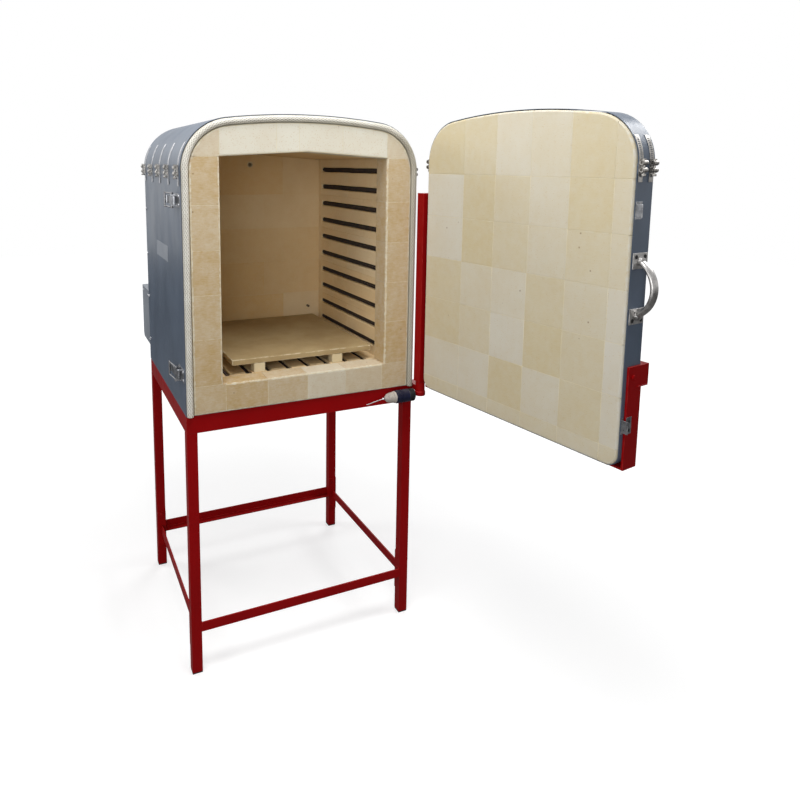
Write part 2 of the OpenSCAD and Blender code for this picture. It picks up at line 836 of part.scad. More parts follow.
module latch_lever(z) {
  color("silver") up() {
    difference() {
      union() {
        rod_z(latch_px, latch_py, z - lever_w / 2, z + lever_w / 2, lever_eye);
        box(latch_px - lever_out, latch_px - lever_out + lever_t, latch_py, latch_py + lever_len,
          z - lever_w / 2, z + lever_w / 2);
        rod_z(latch_px - lever_out, latch_py + lever_len, z - lever_w / 2, z + lever_w / 2, lever_curl);
      }
      rod_z(latch_px, latch_py, z - lever_w, z + lever_w, latch_pin_r + run_gap);
    }
    rod_z(bail_px, bail_py, z - bail_w - 3, z + bail_w + 3, bail_r);
  }
}

module upper_latch_lever() {
  latch_lever(latch_hi);
}

module lower_latch_lever() {
  latch_lever(latch_lo);
}

module latch_bail(z) {
  color("silver") up() translate([bail_px, bail_py, z]) rotate([0, 0, bail_tilt]) {
    for (s = [-1, 1]) difference() {
      union() {
        rod_z(0, 0, s * bail_w - 2, s * bail_w + 2, bail_r + bail_eye);
        rod_y(0, s * bail_w, bail_r + 0.8, bail_len, bail_r - 0.3);
      }
      rod_z(0, 0, -bail_w - 4, bail_w + 4, bail_r + run_gap);
    }
    rod_z(0, bail_len, -bail_w - 3, bail_w + 3, bail_r);
  }
}

module upper_latch_bail() {
  latch_bail(latch_hi);
}

module lower_latch_bail() {
  latch_bail(latch_lo);
}

module switch_body() {
  color("midnightblue") up() {
    rod_x(switch_x0, switch_x1, switch_y, switch_z, switch_r);
    rod_x(switch_x1 - 1, switch_x1 + 3, switch_y, switch_z, switch_r * 0.6);
    box(switch_x0 + 14, switch_x1 - 16, switch_y, -sd,
      switch_z - switch_r * 0.6, switch_z + switch_r * 0.6);
  }
}

module switch_boot() {
  color("white") up() translate([switch_x0 - seat, switch_y, switch_z]) rotate([0, -90, 0])
    rotate_extrude() polygon([[0, 0], [switch_r - 2, 0], [switch_r - 2, 6], [switch_r - 4, 14],
      [switch_r - 5, 24], [switch_r - 9, 31], [5, boot_len], [0, boot_len]]);
}

module switch_whisker() {
  color("silver") up() translate([whisker_x, switch_y, switch_z]) {
    sphere(r = 3.4);
    rotate([0, -90 - whisker_tilt, 0]) cylinder(r = whisker_r, h = whisker_len);
  }
}

module hinge_bracket() {
  bw = boss_r - 0.5;
  top = post_low + boss_h - bracket_step;
  color("firebrick") up() difference() {
    union() {
      rod_z(hinge_x, hinge_y, post_low, post_low + boss_h, boss_r);
      box(hinge_x - bw, hinge_x + bw, hinge_y, leg_w - sd, post_low, top);
      box(hw, hinge_x, -sd + 1, leg_w - sd, post_low, top);
    }
    rod_z(hinge_x, hinge_y, post_low - 1, post_low + boss_h + 1, spindle_d / 2 + run_gap);
  }
}

module hinge_spindle() {
  color("silver") up() {
    rod_z(hinge_x, hinge_y, post_low - spindle_low, post_top - spindle_gap, spindle_d / 2);
    rod_z(hinge_x, hinge_y, post_low - nut_h, post_low - seat, nut_r);
  }
}

// everything on the door is drawn closed and then swung open
module door() {
  up() translate([hinge_x, hinge_y, 0]) rotate([0, 0, door_open]) translate([-hinge_x, -hinge_y, 0])
    children();
}

module door_bricks() {
  color("wheat") door() for (i = [0:5], j = [0:6]) {
    intersection() {
      box(col_x(i) + joint_w / 2, col_x(i + 1) - joint_w / 2, door_y(door_t), door_y(0),
        row_low(j) + joint_w / 2, row_low(j + 1) - joint_w / 2);
      slab(door_arch(slab_o), door_y(door_t) - 1, door_y(0) + 1);
    }
  }
}

module door_rim() {
  l = rim_back - rim_in;
  rc = door_corner;
  color("slategray") door() translate([0, door_y(rim_in), 0]) rotate([90, 0, 0]) {
    translate([rc - door_hw, door_low, 0]) cube([2 * (door_hw - rc), sheet_t, l]);
    for (m = [0, 1]) mirror([m, 0, 0]) {
      translate([door_hw - rc, door_low + rc, 0]) rotate([0, 0, -90])
        rotate_extrude(angle = 90) translate([rc - sheet_t, 0]) square([sheet_t, l]);
      translate([door_hw - sheet_t, door_low + rc, 0]) cube([sheet_t, door_zc - seat - door_low - rc, l]);
    }
  }
}

module door_hood() {
  color("slategray") door()
    arch_sheet(door_hw, door_top, door_r, hood_o, sheet_t, door_y(rim_back), door_y(rim_in), door_split);
}

module door_back_panel() {
  color("slategray") door()
    slab(door_arch(sheet_t + seat), door_y(rim_back), door_y(rim_back - sheet_t));
}

module door_clamps() {
  color("silver") door() for (m = [0, 1], t = clamp_ts) mirror([m, 0, 0]) {
    strap(door_hw, door_top, door_r, strap_o, door_y(t), door_strap_z);
    clamp(door_hw - strap_o - eps, door_y(t), door_clamp_z);
  }
}

module door_handle() {
  c = handle_len / 2 - handle_ph / 2;
  r = (c * c + handle_out * handle_out) / (2 * handle_out);
  a = asin(c / r);
  color("silver") door() {
    for (s = [-1, 1])
      box(door_free - handle_pt - seat, door_free - seat, door_y(handle_t + handle_pw / 2),
        door_y(handle_t - handle_pw / 2), handle_z + s * handle_len / 2 - (s > 0 ? handle_ph : 0),
        handle_z + s * handle_len / 2 + (s > 0 ? 0 : handle_ph));
    difference() {
      translate([door_free - 1 - handle_out + r, door_y(handle_t), handle_z]) rotate([90, 0, 0])
        rotate([0, 0, 180 - a]) rotate_extrude(angle = 2 * a) translate([r, 0]) circle(handle_bar);
      box(door_free - seat - handle_pt / 2, door_free + handle_out, door_y(handle_t + handle_pw),
        door_y(handle_t - handle_pw), handle_z - handle_len, handle_z + handle_len);
    }
    for (s = [-1, 1], e = [-1, 1])
      rod_x(door_free - handle_pt - 2, door_free - 1, door_y(handle_t + e * handle_pw / 3),
        handle_z + s * (handle_len / 2 - handle_ph / 2), handle_screw);
  }
}

module strike_plates() {
  color("silver") door() {
    for (z = [latch_hi + strike_up, latch_lo]) {
      t1 = z > latch_lo ? strike_foot_hi : strike_foot_lo;
      box(door_free - strike_out, door_free - seat, door_y(strike_t0 + strike_t), door_y(strike_t0),
        z - strike_hz, z + strike_hz);
      box(door_free - strike_t - seat, door_free - seat, door_y(t1), door_y(strike_t0),
        z - strike_foot_hz, z + strike_foot_hz);
    }
  }
}

module carrier_beam() {
  color("firebrick") door() difference() {
    union() {
      box(door_free - seat, hinge_x - leg_w / 2 + 1, door_y(beam_t1), door_y(beam_t0),
        beam_z, beam_z + beam_h);
      box(hinge_x - leg_w / 2, hinge_x + leg_w / 2, door_y(beam_t1), hinge_y - leg_w / 2,
        beam_z, beam_z + beam_h);
    }
    box(door_free - 1, hinge_x + leg_w / 2 - tube_t, door_y(beam_t1) + tube_t, door_y(beam_t0) - tube_t,
      beam_z + tube_t, beam_z + beam_h - tube_t);
  }
}

module door_cradle() {
  x0 = cradle_x;
  top = beam_z + beam_h;
  color("firebrick") door() {
    box(-x0, x0, door_y(rim_back), door_y(cradle_t0), cradle_low, door_low - seat);
    box(-x0 - cradle_t, -x0, door_y(cradle_t1), door_y(cradle_t0), cradle_low, top);
    box(-x0 - cradle_t, -x0, door_y(beam_t1), door_y(cradle_t1), beam_z, top);
    box(x0, x0 + cradle_t, door_y(cradle_t1), door_y(cradle_t0), cradle_low, top);
    box(x0, x0 + cradle_t, door_y(beam_t0), door_y(cradle_t1), beam_z, top);
  }
}

module hinge_post() {
  q = leg_w / 2;
  z0 = post_z0;
  color("firebrick") door() translate([hinge_x, hinge_y, 0]) difference() {
    box(-q, q, -q, q, z0, post_top);
    box(tube_t - q, q - tube_t, tube_t - q, q - tube_t, z0 + post_plug, post_top - post_plug - 10);
    rod_z(0, 0, z0 - 1, post_top - spindle_gap + 2, spindle_d / 2 + run_gap);
  }
}

front_left_leg();
front_right_leg();
rear_left_leg();
rear_right_leg();
front_rail();
rear_rail();
left_rail();
right_rail();
front_stretcher();
rear_stretcher();
side_stretchers();
foot_plugs();
stand_bolts();
base_pan();
floor_bricks();
sill_bricks();
left_wall_bricks();
right_wall_bricks();
back_wall_bricks();
roof_bricks();
left_jamb_bricks();
right_jamb_bricks();
lintel_bricks();
left_elements();
right_elements();
floor_elements();
thermocouple();
vent_tube();
fibre_blanket();
left_casing();
right_casing();
hood();
back_panel();
rope_gasket();
hood_straps();
strap_clamps();
terminal_box();
cable_gland();
kiln_shelf();
shelf_props();
latch_bases();
upper_latch_lever();
upper_latch_bail();
lower_latch_lever();
lower_latch_bail();
switch_body();
switch_boot();
switch_whisker();
hinge_bracket();
hinge_spindle();
door_bricks();
door_rim();
door_hood();
door_back_panel();
door_clamps();
door_handle();
strike_plates();
carrier_beam();
door_cradle();
hinge_post();
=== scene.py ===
"""Looks of a front-loading electric kiln on a red stand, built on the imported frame."""

import logging
import math
import random
from collections.abc import Callable, Iterable, Sequence
from dataclasses import dataclass
from enum import Enum

import bmesh
import bpy
from mathutils import Matrix, Vector


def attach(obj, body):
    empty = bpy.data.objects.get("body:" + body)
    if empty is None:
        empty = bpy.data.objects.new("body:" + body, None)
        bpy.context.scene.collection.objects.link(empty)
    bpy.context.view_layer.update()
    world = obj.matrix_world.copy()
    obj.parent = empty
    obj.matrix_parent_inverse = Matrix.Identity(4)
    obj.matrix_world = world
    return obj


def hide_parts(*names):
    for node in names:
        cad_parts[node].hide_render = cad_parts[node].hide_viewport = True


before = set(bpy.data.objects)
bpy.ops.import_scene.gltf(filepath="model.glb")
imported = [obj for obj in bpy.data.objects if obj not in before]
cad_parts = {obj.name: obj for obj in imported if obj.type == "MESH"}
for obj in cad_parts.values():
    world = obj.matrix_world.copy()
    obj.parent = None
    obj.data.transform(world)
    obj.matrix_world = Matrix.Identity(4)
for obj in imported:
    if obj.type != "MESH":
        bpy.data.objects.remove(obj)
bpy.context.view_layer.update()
log = logging.getLogger("kiln")

MM = 0.001
RAIL = 738.0
SEED = 41
Point = tuple[float, float, float]
Flat = tuple[float, float]
Colour = tuple[float, float, float, float]
Placer = Callable[[float, float, float], Vector]
Edge = bmesh.types.BMEdge
Socket = bpy.types.NodeSocket
Sockets = bpy.types.bpy_prop_collection


class Batch(Enum):
    """Firing batch of a door brick, from warm to pale, as a tone."""

    WARM = -0.35
    MID = 0.0
    PALE = 0.5


class Drive(Enum):
    """Recess in a screw head."""

    CROSS = "cross"
    PLAIN = "plain"


class Side(Enum):
    """Side of the kiln as seen from its front."""

    LEFT = -1
    RIGHT = 1


def tint(r: float, g: float, b: float) -> Colour:
    """Turn an sRGB colour of 0 to 255 into the linear colour that a socket takes.

    Args:
        r: red.
        g: green.
        b: blue.

    Returns:
        The linear colour with full alpha.
    """
    shares = (c / 255 for c in (r, g, b))
    out = [c / 12.92 if c <= 0.04045 else ((c + 0.055) / 1.055) ** 2.4 for c in shares]
    return (out[0], out[1], out[2], 1.0)


def at(x: float, y: float, z: float) -> Vector:
    """Place in metres of a point given in millimetres, with its height above the rails."""
    return Vector((x * MM, y * MM, (z + RAIL) * MM))


def aim(place: Vector, way: Vector) -> Matrix:
    """Frame at a place with its Z along a direction."""
    return Matrix.Translation(place) @ way.to_track_quat("Z", "Y").to_matrix().to_4x4()


def around(sides: int) -> list[float]:
    """Angles of points that are spaced evenly round a circle."""
    return [2 * math.pi * k / sides for k in range(sides)]


def circle(middle: Vector, across: Vector, up: Vector, radius: float, sides: int) -> list[Vector]:
    """Points of a circle with its radius in millimetres and its middle in metres."""
    return [middle + (across * math.cos(a) + up * math.sin(a)) * radius * MM for a in around(sides)]


def add_object(name: str, data: bpy.types.ID) -> bpy.types.Object:
    """Add an object to the scene.

    Args:
        name: the object's name.
        data: its mesh, lamp or camera.

    Returns:
        The object.
    """
    made = bpy.data.objects.new(name, data)
    bpy.context.scene.collection.objects.link(made)
    return made


@dataclass(frozen=True)
class Arch:
    """Outline of a box with a shallow crown and round shoulders, in millimetres."""

    half: float
    top: float
    shoulder: float
    crown: float = 1700.0

    @property
    def spring(self) -> float:
        """Height at which the shoulders begin."""
        run = (self.crown - self.shoulder) ** 2 - (self.half - self.shoulder) ** 2
        return self.top - self.crown + math.sqrt(run)

    @property
    def lean(self) -> float:
        """Half of the crown's angle, in radians."""
        return math.asin((self.half - self.shoulder) / (self.crown - self.shoulder))

    def holds(self, x: float, z: float, inset: float) -> bool:
        """Tell whether a point lies inside the outline moved inwards.

        Args:
            x: sideways place.
            z: height above the rails.
            inset: distance that the outline is moved inwards.

        Returns:
            True where the point is inside.
        """
        if abs(x) > self.half - inset:
            return False
        edge = self.half - self.shoulder
        if abs(x) > edge + (self.shoulder - inset) * math.sin(self.lean):
            run = (self.shoulder - inset) ** 2 - (abs(x) - edge) ** 2
            return z <= self.spring + math.sqrt(max(run, 0.0))
        return z <= self.top - self.crown + math.sqrt((self.crown - inset) ** 2 - x * x)

    def path(self, inset: float, low: float, step: float) -> list[tuple[Flat, Flat]]:
        """Points and outward normals along the outline, from the right foot to the left foot.

        Args:
            inset: distance that the outline is moved inwards.
            low: height at which both feet end.
            step: spacing of the points.

        Returns:
            Pairs of a point and a normal, each as (x, z).
        """
        edge, spring, lean = self.half - self.shoulder, self.spring, self.lean
        count = max(2, round((spring - low) / step))
        rise = [(spring - low) * i / count for i in range(count + 1)]
        out: list[tuple[Flat, Flat]] = [((self.half - inset, low + h), (1.0, 0.0)) for h in rise[:-1]]
        arcs = [
            (edge, spring, self.shoulder - inset, 0.0, math.pi / 2 - lean),
            (0.0, self.top - self.crown, self.crown - inset, math.pi / 2 - lean, math.pi / 2 + lean),
            (-edge, spring, self.shoulder - inset, math.pi / 2 + lean, math.pi),
        ]
        for cx, cz, r, a0, a1 in arcs:
            n = max(4, round(r * (a1 - a0) / step))
            for i in range(n):
                a = a0 + (a1 - a0) * i / n
                out.append(((cx + r * math.cos(a), cz + r * math.sin(a)), (math.cos(a), math.sin(a))))
        return out + [((inset - self.half, spring - h), (-1.0, 0.0)) for h in rise]


KILN = Arch(335.0, 782.0, 135.0)
DOOR = Arch(327.4, 786.0, 109.0)
HINGE = Vector((0.350, -0.323, 0.0))
OPEN = Matrix.Translation(HINGE) @ Matrix.Rotation(math.radians(98.7), 4, "Z") @ Matrix.Translation(-HINGE)
SHUT = OPEN.inverted()
LEFT = Vector((-1.0, 0.0, 0.0))
REAR = Vector((0.0, 1.0, 0.0))
DOOR_OUT = OPEN.to_3x3() @ LEFT
DOOR_BACK = OPEN.to_3x3() @ -REAR


class Graph:
    """Short hand for adding and joining nodes in one tree."""

    def __init__(self, tree: bpy.types.NodeTree) -> None:
        """Keep the tree that the nodes go into."""
        self.tree = tree

    def node(self, kind: str, **values: object) -> bpy.types.Node:
        """Add a node.

        Args:
            kind: the node's type without the common prefix.
            values: properties of the node.

        Returns:
            The new node.
        """
        made = self.tree.nodes.new("ShaderNode" + kind)
        for key, value in values.items():
            setattr(made, key, value)
        return made

    def put(self, socket: Socket, value: object) -> None:
        """Join a socket to an input, or set the input's own value.

        Args:
            socket: the input.
            value: the socket to join or the value to set.
        """
        if isinstance(value, Socket):
            self.tree.links.new(value, socket)
        else:
            socket.default_value = value

    def fill(self, made: bpy.types.Node, names: Iterable[int | str], values: Iterable[object]) -> None:
        """Put values into the named inputs of a node."""
        for name, value in zip(names, values):
            self.put(made.inputs[name], value)

    def place(self) -> Socket:
        """Give the point's place on the piece, in metres."""
        return self.node("TexCoord").outputs["Object"]

    def mark(self, name: str) -> Socket:
        """Give a value that the mesh keeps at its corners."""
        return self.node("Attribute", attribute_name=name).outputs["Fac"]

    def mix(self, share: object, first: object, second: object) -> Socket:
        """Mix two colours.

        Args:
            share: share of the second colour.
            first: one colour.
            second: the other colour.

        Returns:
            The mixed colour.
        """
        made = self.node("Mix", data_type="RGBA")
        self.fill(made, (0, 6, 7), (share, first, second))
        return made.outputs[2]

    def sum(self, kind: str, first: object, second: object) -> Socket:
        """Join two values by a sum.

        Args:
            kind: the kind of sum.
            first: one value.
            second: the other value.

        Returns:
            The result.
        """
        made = self.node("Math", operation=kind)
        self.fill(made, (0, 1), (first, second))
        return made.outputs[0]

    def ramp(self, value: object, low: object, high: object, least: float = 0, most: float = 1) -> Socket:
        """Stretch a value between two ends and hold it there.

        Args:
            value: the value.
            low: value that gives the least.
            high: value that gives the most.
            least: result at the low end.
            most: result at the high end.

        Returns:
            The stretched value.
        """
        made = self.node("MapRange", clamp=True)
        names = ("Value", "From Min", "From Max", "To Min", "To Max")
        self.fill(made, names, (value, low, high, least, most))
        return made.outputs["Result"]

    def noise(self, where: object, scale: object, detail: float, rough: float) -> Socket:
        """Give a cloud pattern.

        Args:
            where: the coordinates.
            scale: cells per metre.
            detail: number of finer layers.
            rough: strength of the finer layers.

        Returns:
            The pattern's value.
        """
        made = self.node("TexNoise")
        self.fill(made, ("Vector", "Scale", "Detail", "Roughness"), (where, scale, detail, rough))
        return made.outputs["Fac"]

    def stretch(self, where: object, scale: object) -> Socket:
        """Scale coordinates along each axis.

        Args:
            where: the coordinates.
            scale: factor along each axis.

        Returns:
            The scaled coordinates.
        """
        made = self.node("VectorMath", operation="MULTIPLY")
        self.fill(made, (0, 1), (where, scale))
        return made.outputs[0]


class Effects:
    """Surface effects that several finishes share, each one a node group made once."""

    KINDS = {"c": "NodeSocketColor", "f": "NodeSocketFloat", "v": "NodeSocketVector"}

    def __init__(self) -> None:
        """Make every group."""
        self.groups: dict[str, bpy.types.NodeTree] = {}
        for make in (self.patches, self.specks, self.grain, self.edge_wear_and_highlight, self.dust, self.smears, self.strokes):
            make()

    def start(self, name: str, ins: str, outs: str) -> tuple[Graph, Sockets, Sockets]:
        """Start a group with named sockets.

        Args:
            name: the group's name.
            ins: inputs as "kind:name", parted by commas.
            outs: outputs in the same form.

        Returns:
            The group's graph, the sockets that come in and those that go out.
        """
        tree = bpy.data.node_groups.new("kiln_" + name, "ShaderNodeTree")
        for text, way in ((ins, "INPUT"), (outs, "OUTPUT")):
            for entry in text.split(","):
                kind, label = entry.split(":")
                tree.interface.new_socket(name=label, in_out=way, socket_type=self.KINDS[kind])
        self.groups[name] = tree
        first, last = (tree.nodes.new("NodeGroup" + end) for end in ("Input", "Output"))
        return Graph(tree), first.outputs, last.inputs

    def patches(self) -> None:
        """Cloudy patches of a second colour."""
        g, i, out = self.start("patches", "c:Color,c:Second,f:Scale,f:Amount", "c:Color")
        cloud = g.ramp(g.noise(g.place(), i["Scale"], 5.0, 0.6), 0.38, 0.66)
        g.put(out["Color"], g.mix(g.sum("MULTIPLY", cloud, i["Amount"]), i["Color"], i["Second"]))

    def specks(self) -> None:
        """Small scattered spots of a second colour."""
        g, i, out = self.start("specks", "c:Color,c:Spot,f:Scale,f:Size,f:Amount", "c:Color,f:Mask")
        cells = g.node("TexVoronoi")
        g.fill(cells, ("Vector", "Scale"), (g.place(), i["Scale"]))
        split = g.node("SeparateColor")
        g.put(split.inputs[0], cells.outputs["Color"])
        size = g.sum("MULTIPLY", i["Size"], split.outputs[1])
        spot = g.ramp(cells.outputs["Distance"], size, g.sum("MULTIPLY", size, 0.55))
        few = g.ramp(split.outputs[0], 0.55, 0.75)
        mask = g.sum("MULTIPLY", g.sum("MULTIPLY", spot, few), i["Amount"])
        g.put(out["Color"], g.mix(mask, i["Color"], i["Spot"]))
        g.put(out["Mask"], mask)

    def grain(self) -> None:
        """Fine even roughness as a height."""
        g, i, out = self.start("grain", "f:Scale,f:Depth", "f:Height")
        fine = g.noise(g.place(), i["Scale"], 4.0, 0.7)
        g.put(out["Height"], g.sum("MULTIPLY", fine, i["Depth"]))

    def edge_wear_and_highlight(self) -> None:
        """Second colour along the rounded edges: wear, and on the red paint and the bricks a painted
        highlight as well.
        """
        g, i, out = self.start("edge_wear_and_highlight", "c:Color,c:Worn,f:Scale,f:Amount", "c:Color")
        # Painted highlight where the edge colour is lighter than the surface, as on the red paint and the
        # bricks; wear elsewhere.
        rubbed = g.ramp(g.noise(g.place(), i["Scale"], 4.0, 0.65), 0.42, 0.62)
        mask = g.sum("MULTIPLY", g.sum("MULTIPLY", g.mark("edge"), rubbed), i["Amount"])
        g.put(out["Color"], g.mix(mask, i["Color"], i["Worn"]))

    def dust(self) -> None:
        """Pale dust on what faces up."""
        g, i, out = self.start("dust", "c:Color,c:Dust,f:Scale,f:Amount", "c:Color")
        split = g.node("SeparateXYZ")
        g.put(split.inputs[0], g.node("NewGeometry").outputs["Normal"])
        level = g.ramp(split.outputs[2], 0.45, 0.95)
        cloud = g.ramp(g.noise(g.place(), i["Scale"], 5.0, 0.6), 0.35, 0.7)
        mask = g.sum("MULTIPLY", g.sum("MULTIPLY", level, cloud), i["Amount"])
        g.put(out["Color"], g.mix(mask, i["Color"], i["Dust"]))

    def smears(self) -> None:
        """Handling smears that change the gloss."""
        g, i, out = self.start("smears", "f:Roughness,f:Scale,f:Amount", "f:Roughness")
        where = g.stretch(g.place(), (1.0, 0.7, 0.45))
        cloud = g.ramp(g.noise(where, i["Scale"], 6.0, 0.62), 0.4, 0.7)
        g.put(out["Roughness"], g.sum("ADD", i["Roughness"], g.sum("MULTIPLY", cloud, i["Amount"])))

    def strokes(self) -> None:
        """Fine parallel lines, as from a saw or a brush."""
        g, i, out = self.start("strokes", "v:Stretch,f:Amount", "f:Value,f:Height")
        line = g.noise(g.stretch(g.place(), i["Stretch"]), 1.0, 3.0, 0.6)
        g.put(out["Value"], g.sum("MULTIPLY", g.ramp(line, 0.3, 0.7), i["Amount"]))
        g.put(out["Height"], g.sum("MULTIPLY", line, i["Amount"]))


class Coat(Graph):
    """One material with a principled shader, into which effects are placed."""

    def __init__(self, name: str, fx: Effects) -> None:
        """Start the material.

        Args:
            name: the material's name.
            fx: the shared effects.
        """
        self.material = bpy.data.materials.new(name)
        self.material.use_nodes = True
        super().__init__(self.material.node_tree)
        self.fx = fx
        self.shader = self.tree.nodes["Principled BSDF"]

    def effect(self, name: str, **values: object) -> Sockets:
        """Place a shared effect and set its inputs.

        Args:
            name: the effect's name.
            values: input values or sockets by name.

        Returns:
            The effect's outputs.
        """
        made = self.node("Group")
        made.node_tree = self.fx.groups[name]
        self.fill(made, values.keys(), values.values())
        return made.outputs

    def lay(self, name: str, base: object, **values: object) -> Socket:
        """Place an effect on a colour and return the new colour."""
        return self.effect(name, Color=base, **values)["Color"]

    def gloss(self, rough: float, scale: float, amount: float) -> Socket:
        """Give a roughness that varies with handling smears."""
        return self.effect("smears", Roughness=rough, Scale=scale, Amount=amount)["Roughness"]

    def grain(self, scale: float, depth: float = 1.0) -> Socket:
        """Give the height of a fine grain."""
        return self.effect("grain", Scale=scale, Depth=depth)["Height"]

    def set(self, **values: object) -> None:
        """Set or join inputs of the shader, with words joined by underscores."""
        self.fill(self.shader, (key.replace("_", " ") for key in values), values.values())

    def bump(self, height: object, depth: float) -> None:
        """Give the surface a relief.

        Args:
            height: the pattern of heights.
            depth: depth of the relief in metres.
        """
        made = self.node("Bump")
        self.fill(made, ("Strength", "Distance", "Height"), (1.0, depth, height))
        self.put(self.shader.inputs["Normal"], made.outputs["Normal"])


@dataclass(frozen=True)
class Finish:
    """A finish, with the record's slot that it belongs to."""

    name: str
    slot: str

    def dress(self, coat: Coat) -> None:
        """Add the nodes of the finish; each kind of finish has its own."""

    def make(self, fx: Effects) -> bpy.types.Material:
        """Build the material.

        Args:
            fx: the shared effects.

        Returns:
            The material.
        """
        coat = Coat(self.name, fx)
        self.dress(coat)
        return coat.material


@dataclass(frozen=True)
class Firebrick(Finish):
    """Soft insulating brick with saw marks, pores and a tone of its own."""

    warm: Colour = tint(193, 161, 108)
    pale: Colour = tint(232, 229, 215)
    stain: Colour = tint(196, 164, 112)
    spot: Colour = tint(128, 88, 52)
    soot: float = 0.18

    def dress(self, coat: Coat) -> None:
        """Add tone, stains, specks, saw marks, pores in painted shade and pale edges with a painted
        highlight.

        Args:
            coat: the material that is being made.
        """
        base = coat.mix(coat.ramp(coat.mark("tone"), -1.0, 1.0), self.warm, self.pale)
        base = coat.lay("patches", base, Second=self.stain, Scale=9.0, Amount=self.soot)
        base = coat.lay("patches", base, Second=self.pale, Scale=45.0, Amount=0.2)
        saw = coat.effect("strokes", Stretch=(90.0, 90.0, 520.0), Amount=0.22)
        base = coat.mix(saw["Value"], base, self.pale)
        base = coat.lay("specks", base, Spot=self.spot, Scale=30.0, Size=0.09, Amount=0.6)
        # Painted shade: the pores take the darker stain colour, as shade in the pits.
        shaded_pores = coat.effect("specks", Color=base, Spot=self.stain, Scale=330.0, Size=0.5, Amount=0.45)
        # Painted highlight: the pale colour on the rounded edges and the rim's lip is partly wear and partly
        # a highlight.
        base = coat.lay("edge_wear_and_highlight", shaded_pores["Color"], Worn=self.pale, Scale=70.0, Amount=0.8)
        coat.set(Base_Color=base, Roughness=0.93, Specular_IOR_Level=0.15)
        relief = coat.sum("ADD", coat.grain(900.0, 0.7), saw["Height"])
        coat.bump(coat.sum("SUBTRACT", relief, shaded_pores["Mask"]), 0.0006)


@dataclass(frozen=True)
class Enamel(Finish):
    """Sprayed paint on steel, with dust, smears and worn edges, partly lightened as a painted highlight."""

    paint: Colour = tint(154, 8, 11)
    deep: Colour = tint(134, 6, 9)
    # Lighter edge colour: partly wear, partly a painted highlight; also the colour of small chips.
    worn: Colour = tint(184, 56, 52)
    dusty: Colour = tint(178, 62, 58)
    gloss: float = 0.36
    smear: float = 0.16
    peel: float = 0.00012
    dust: float = 0.1
    shine: float = 0.1

    def dress(self, coat: Coat) -> None:
        """Add tone, worn edges with a painted highlight, dust, smears and orange peel.

        Args:
            coat: the material that is being made.
        """
        base = coat.lay("patches", self.paint, Second=self.deep, Scale=7.0, Amount=0.5)
        # Painted highlight: the lighter edge colour is partly wear and partly a highlight along the rounded
        # edges.
        base = coat.lay("edge_wear_and_highlight", base, Worn=self.worn, Scale=60.0, Amount=0.8)
        base = coat.lay("dust", base, Dust=self.dusty, Scale=22.0, Amount=self.dust)
        base = coat.lay("specks", base, Spot=self.worn, Scale=70.0, Size=0.07, Amount=0.5)
        rough = coat.gloss(self.gloss, 14.0, self.smear)
        coat.set(Base_Color=base, Roughness=rough, Specular_IOR_Level=self.shine)
        coat.bump(coat.grain(420.0), self.peel)


@dataclass(frozen=True)
class Steel(Finish):
    """Bright plated steel with brush lines and dull spots."""

    metal: Colour = tint(216, 217, 220)
    dull: Colour = tint(150, 150, 152)
    gloss: float = 0.24
    rubbed: Colour = tint(226, 226, 228)
    lines: Point = (700.0, 700.0, 60.0)

    def dress(self, coat: Coat) -> None:
        """Add dull patches, brush lines and rubbed edges.

        Args:
            coat: the material that is being made.
        """
        base = coat.lay("patches", self.metal, Second=self.dull, Scale=60.0, Amount=0.55)
        base = coat.lay("edge_wear_and_highlight", base, Worn=self.rubbed, Scale=90.0, Amount=0.7)
        brush = coat.effect("strokes", Stretch=self.lines, Amount=0.2)
        rough = coat.sum("ADD", coat.gloss(self.gloss, 40.0, 0.2), brush["Value"])
        coat.set(Base_Color=base, Metallic=0.92, Roughness=rough)
        coat.bump(brush["Height"], 0.00012)


@dataclass(frozen=True)
class Fibre(Finish):
    """Off-white ceramic fibre."""

    light: Colour = tint(228, 223, 208)
    shade: Colour = tint(188, 178, 156)
    knit: bool = False
    # Darker colour painted as shade in the braid's gaps.
    gap_shade: Colour = tint(140, 132, 114)

    def dress(self, coat: Coat) -> None:
        """Add soiled patches, painted shade in the braid's gaps and on the rope's right side where it is
        knitted, stray threads and fuzz.

        Args:
            coat: the material that is being made.
        """
        base = coat.lay("patches", self.light, Second=self.shade, Scale=38.0, Amount=0.45)
        if self.knit:
            # Painted shade: where the stored share of light is low, the colour turns to the darker gap
            # colour.
            base = coat.mix(coat.ramp(coat.mark("tone"), 0.68, 0.2), base, self.gap_shade)
        thread = coat.effect("strokes", Stretch=(1500.0, 300.0, 1500.0), Amount=0.35)
        base = coat.mix(thread["Value"], base, self.shade)
        coat.set(Base_Color=base, Roughness=0.95, Specular_IOR_Level=0.1)
        coat.bump(coat.sum("ADD", coat.grain(1400.0, 0.8), thread["Height"]), 0.0005)


@dataclass(frozen=True)
class Ceramic(Finish):
    """Dense shelf ceramic with a sanded face."""

    clay: Colour = tint(184, 163, 122)
    ash: Colour = tint(148, 122, 82)
    spot: Colour = tint(142, 112, 74)
    rubbed: Colour = tint(220, 208, 178)

    def dress(self, coat: Coat) -> None:
        """Add kiln marks, specks and a sanded grain.

        Args:
            coat: the material that is being made.
        """
        base = coat.lay("patches", self.clay, Second=self.ash, Scale=6.5, Amount=0.55)
        base = coat.lay("specks", base, Spot=self.spot, Scale=120.0, Size=0.3, Amount=0.5)
        base = coat.lay("edge_wear_and_highlight", base, Worn=self.rubbed, Scale=50.0, Amount=0.8)
        coat.set(Base_Color=base, Roughness=coat.gloss(0.66, 12.0, 0.18), Specular_IOR_Level=0.3)
        coat.bump(coat.grain(650.0), 0.0003)


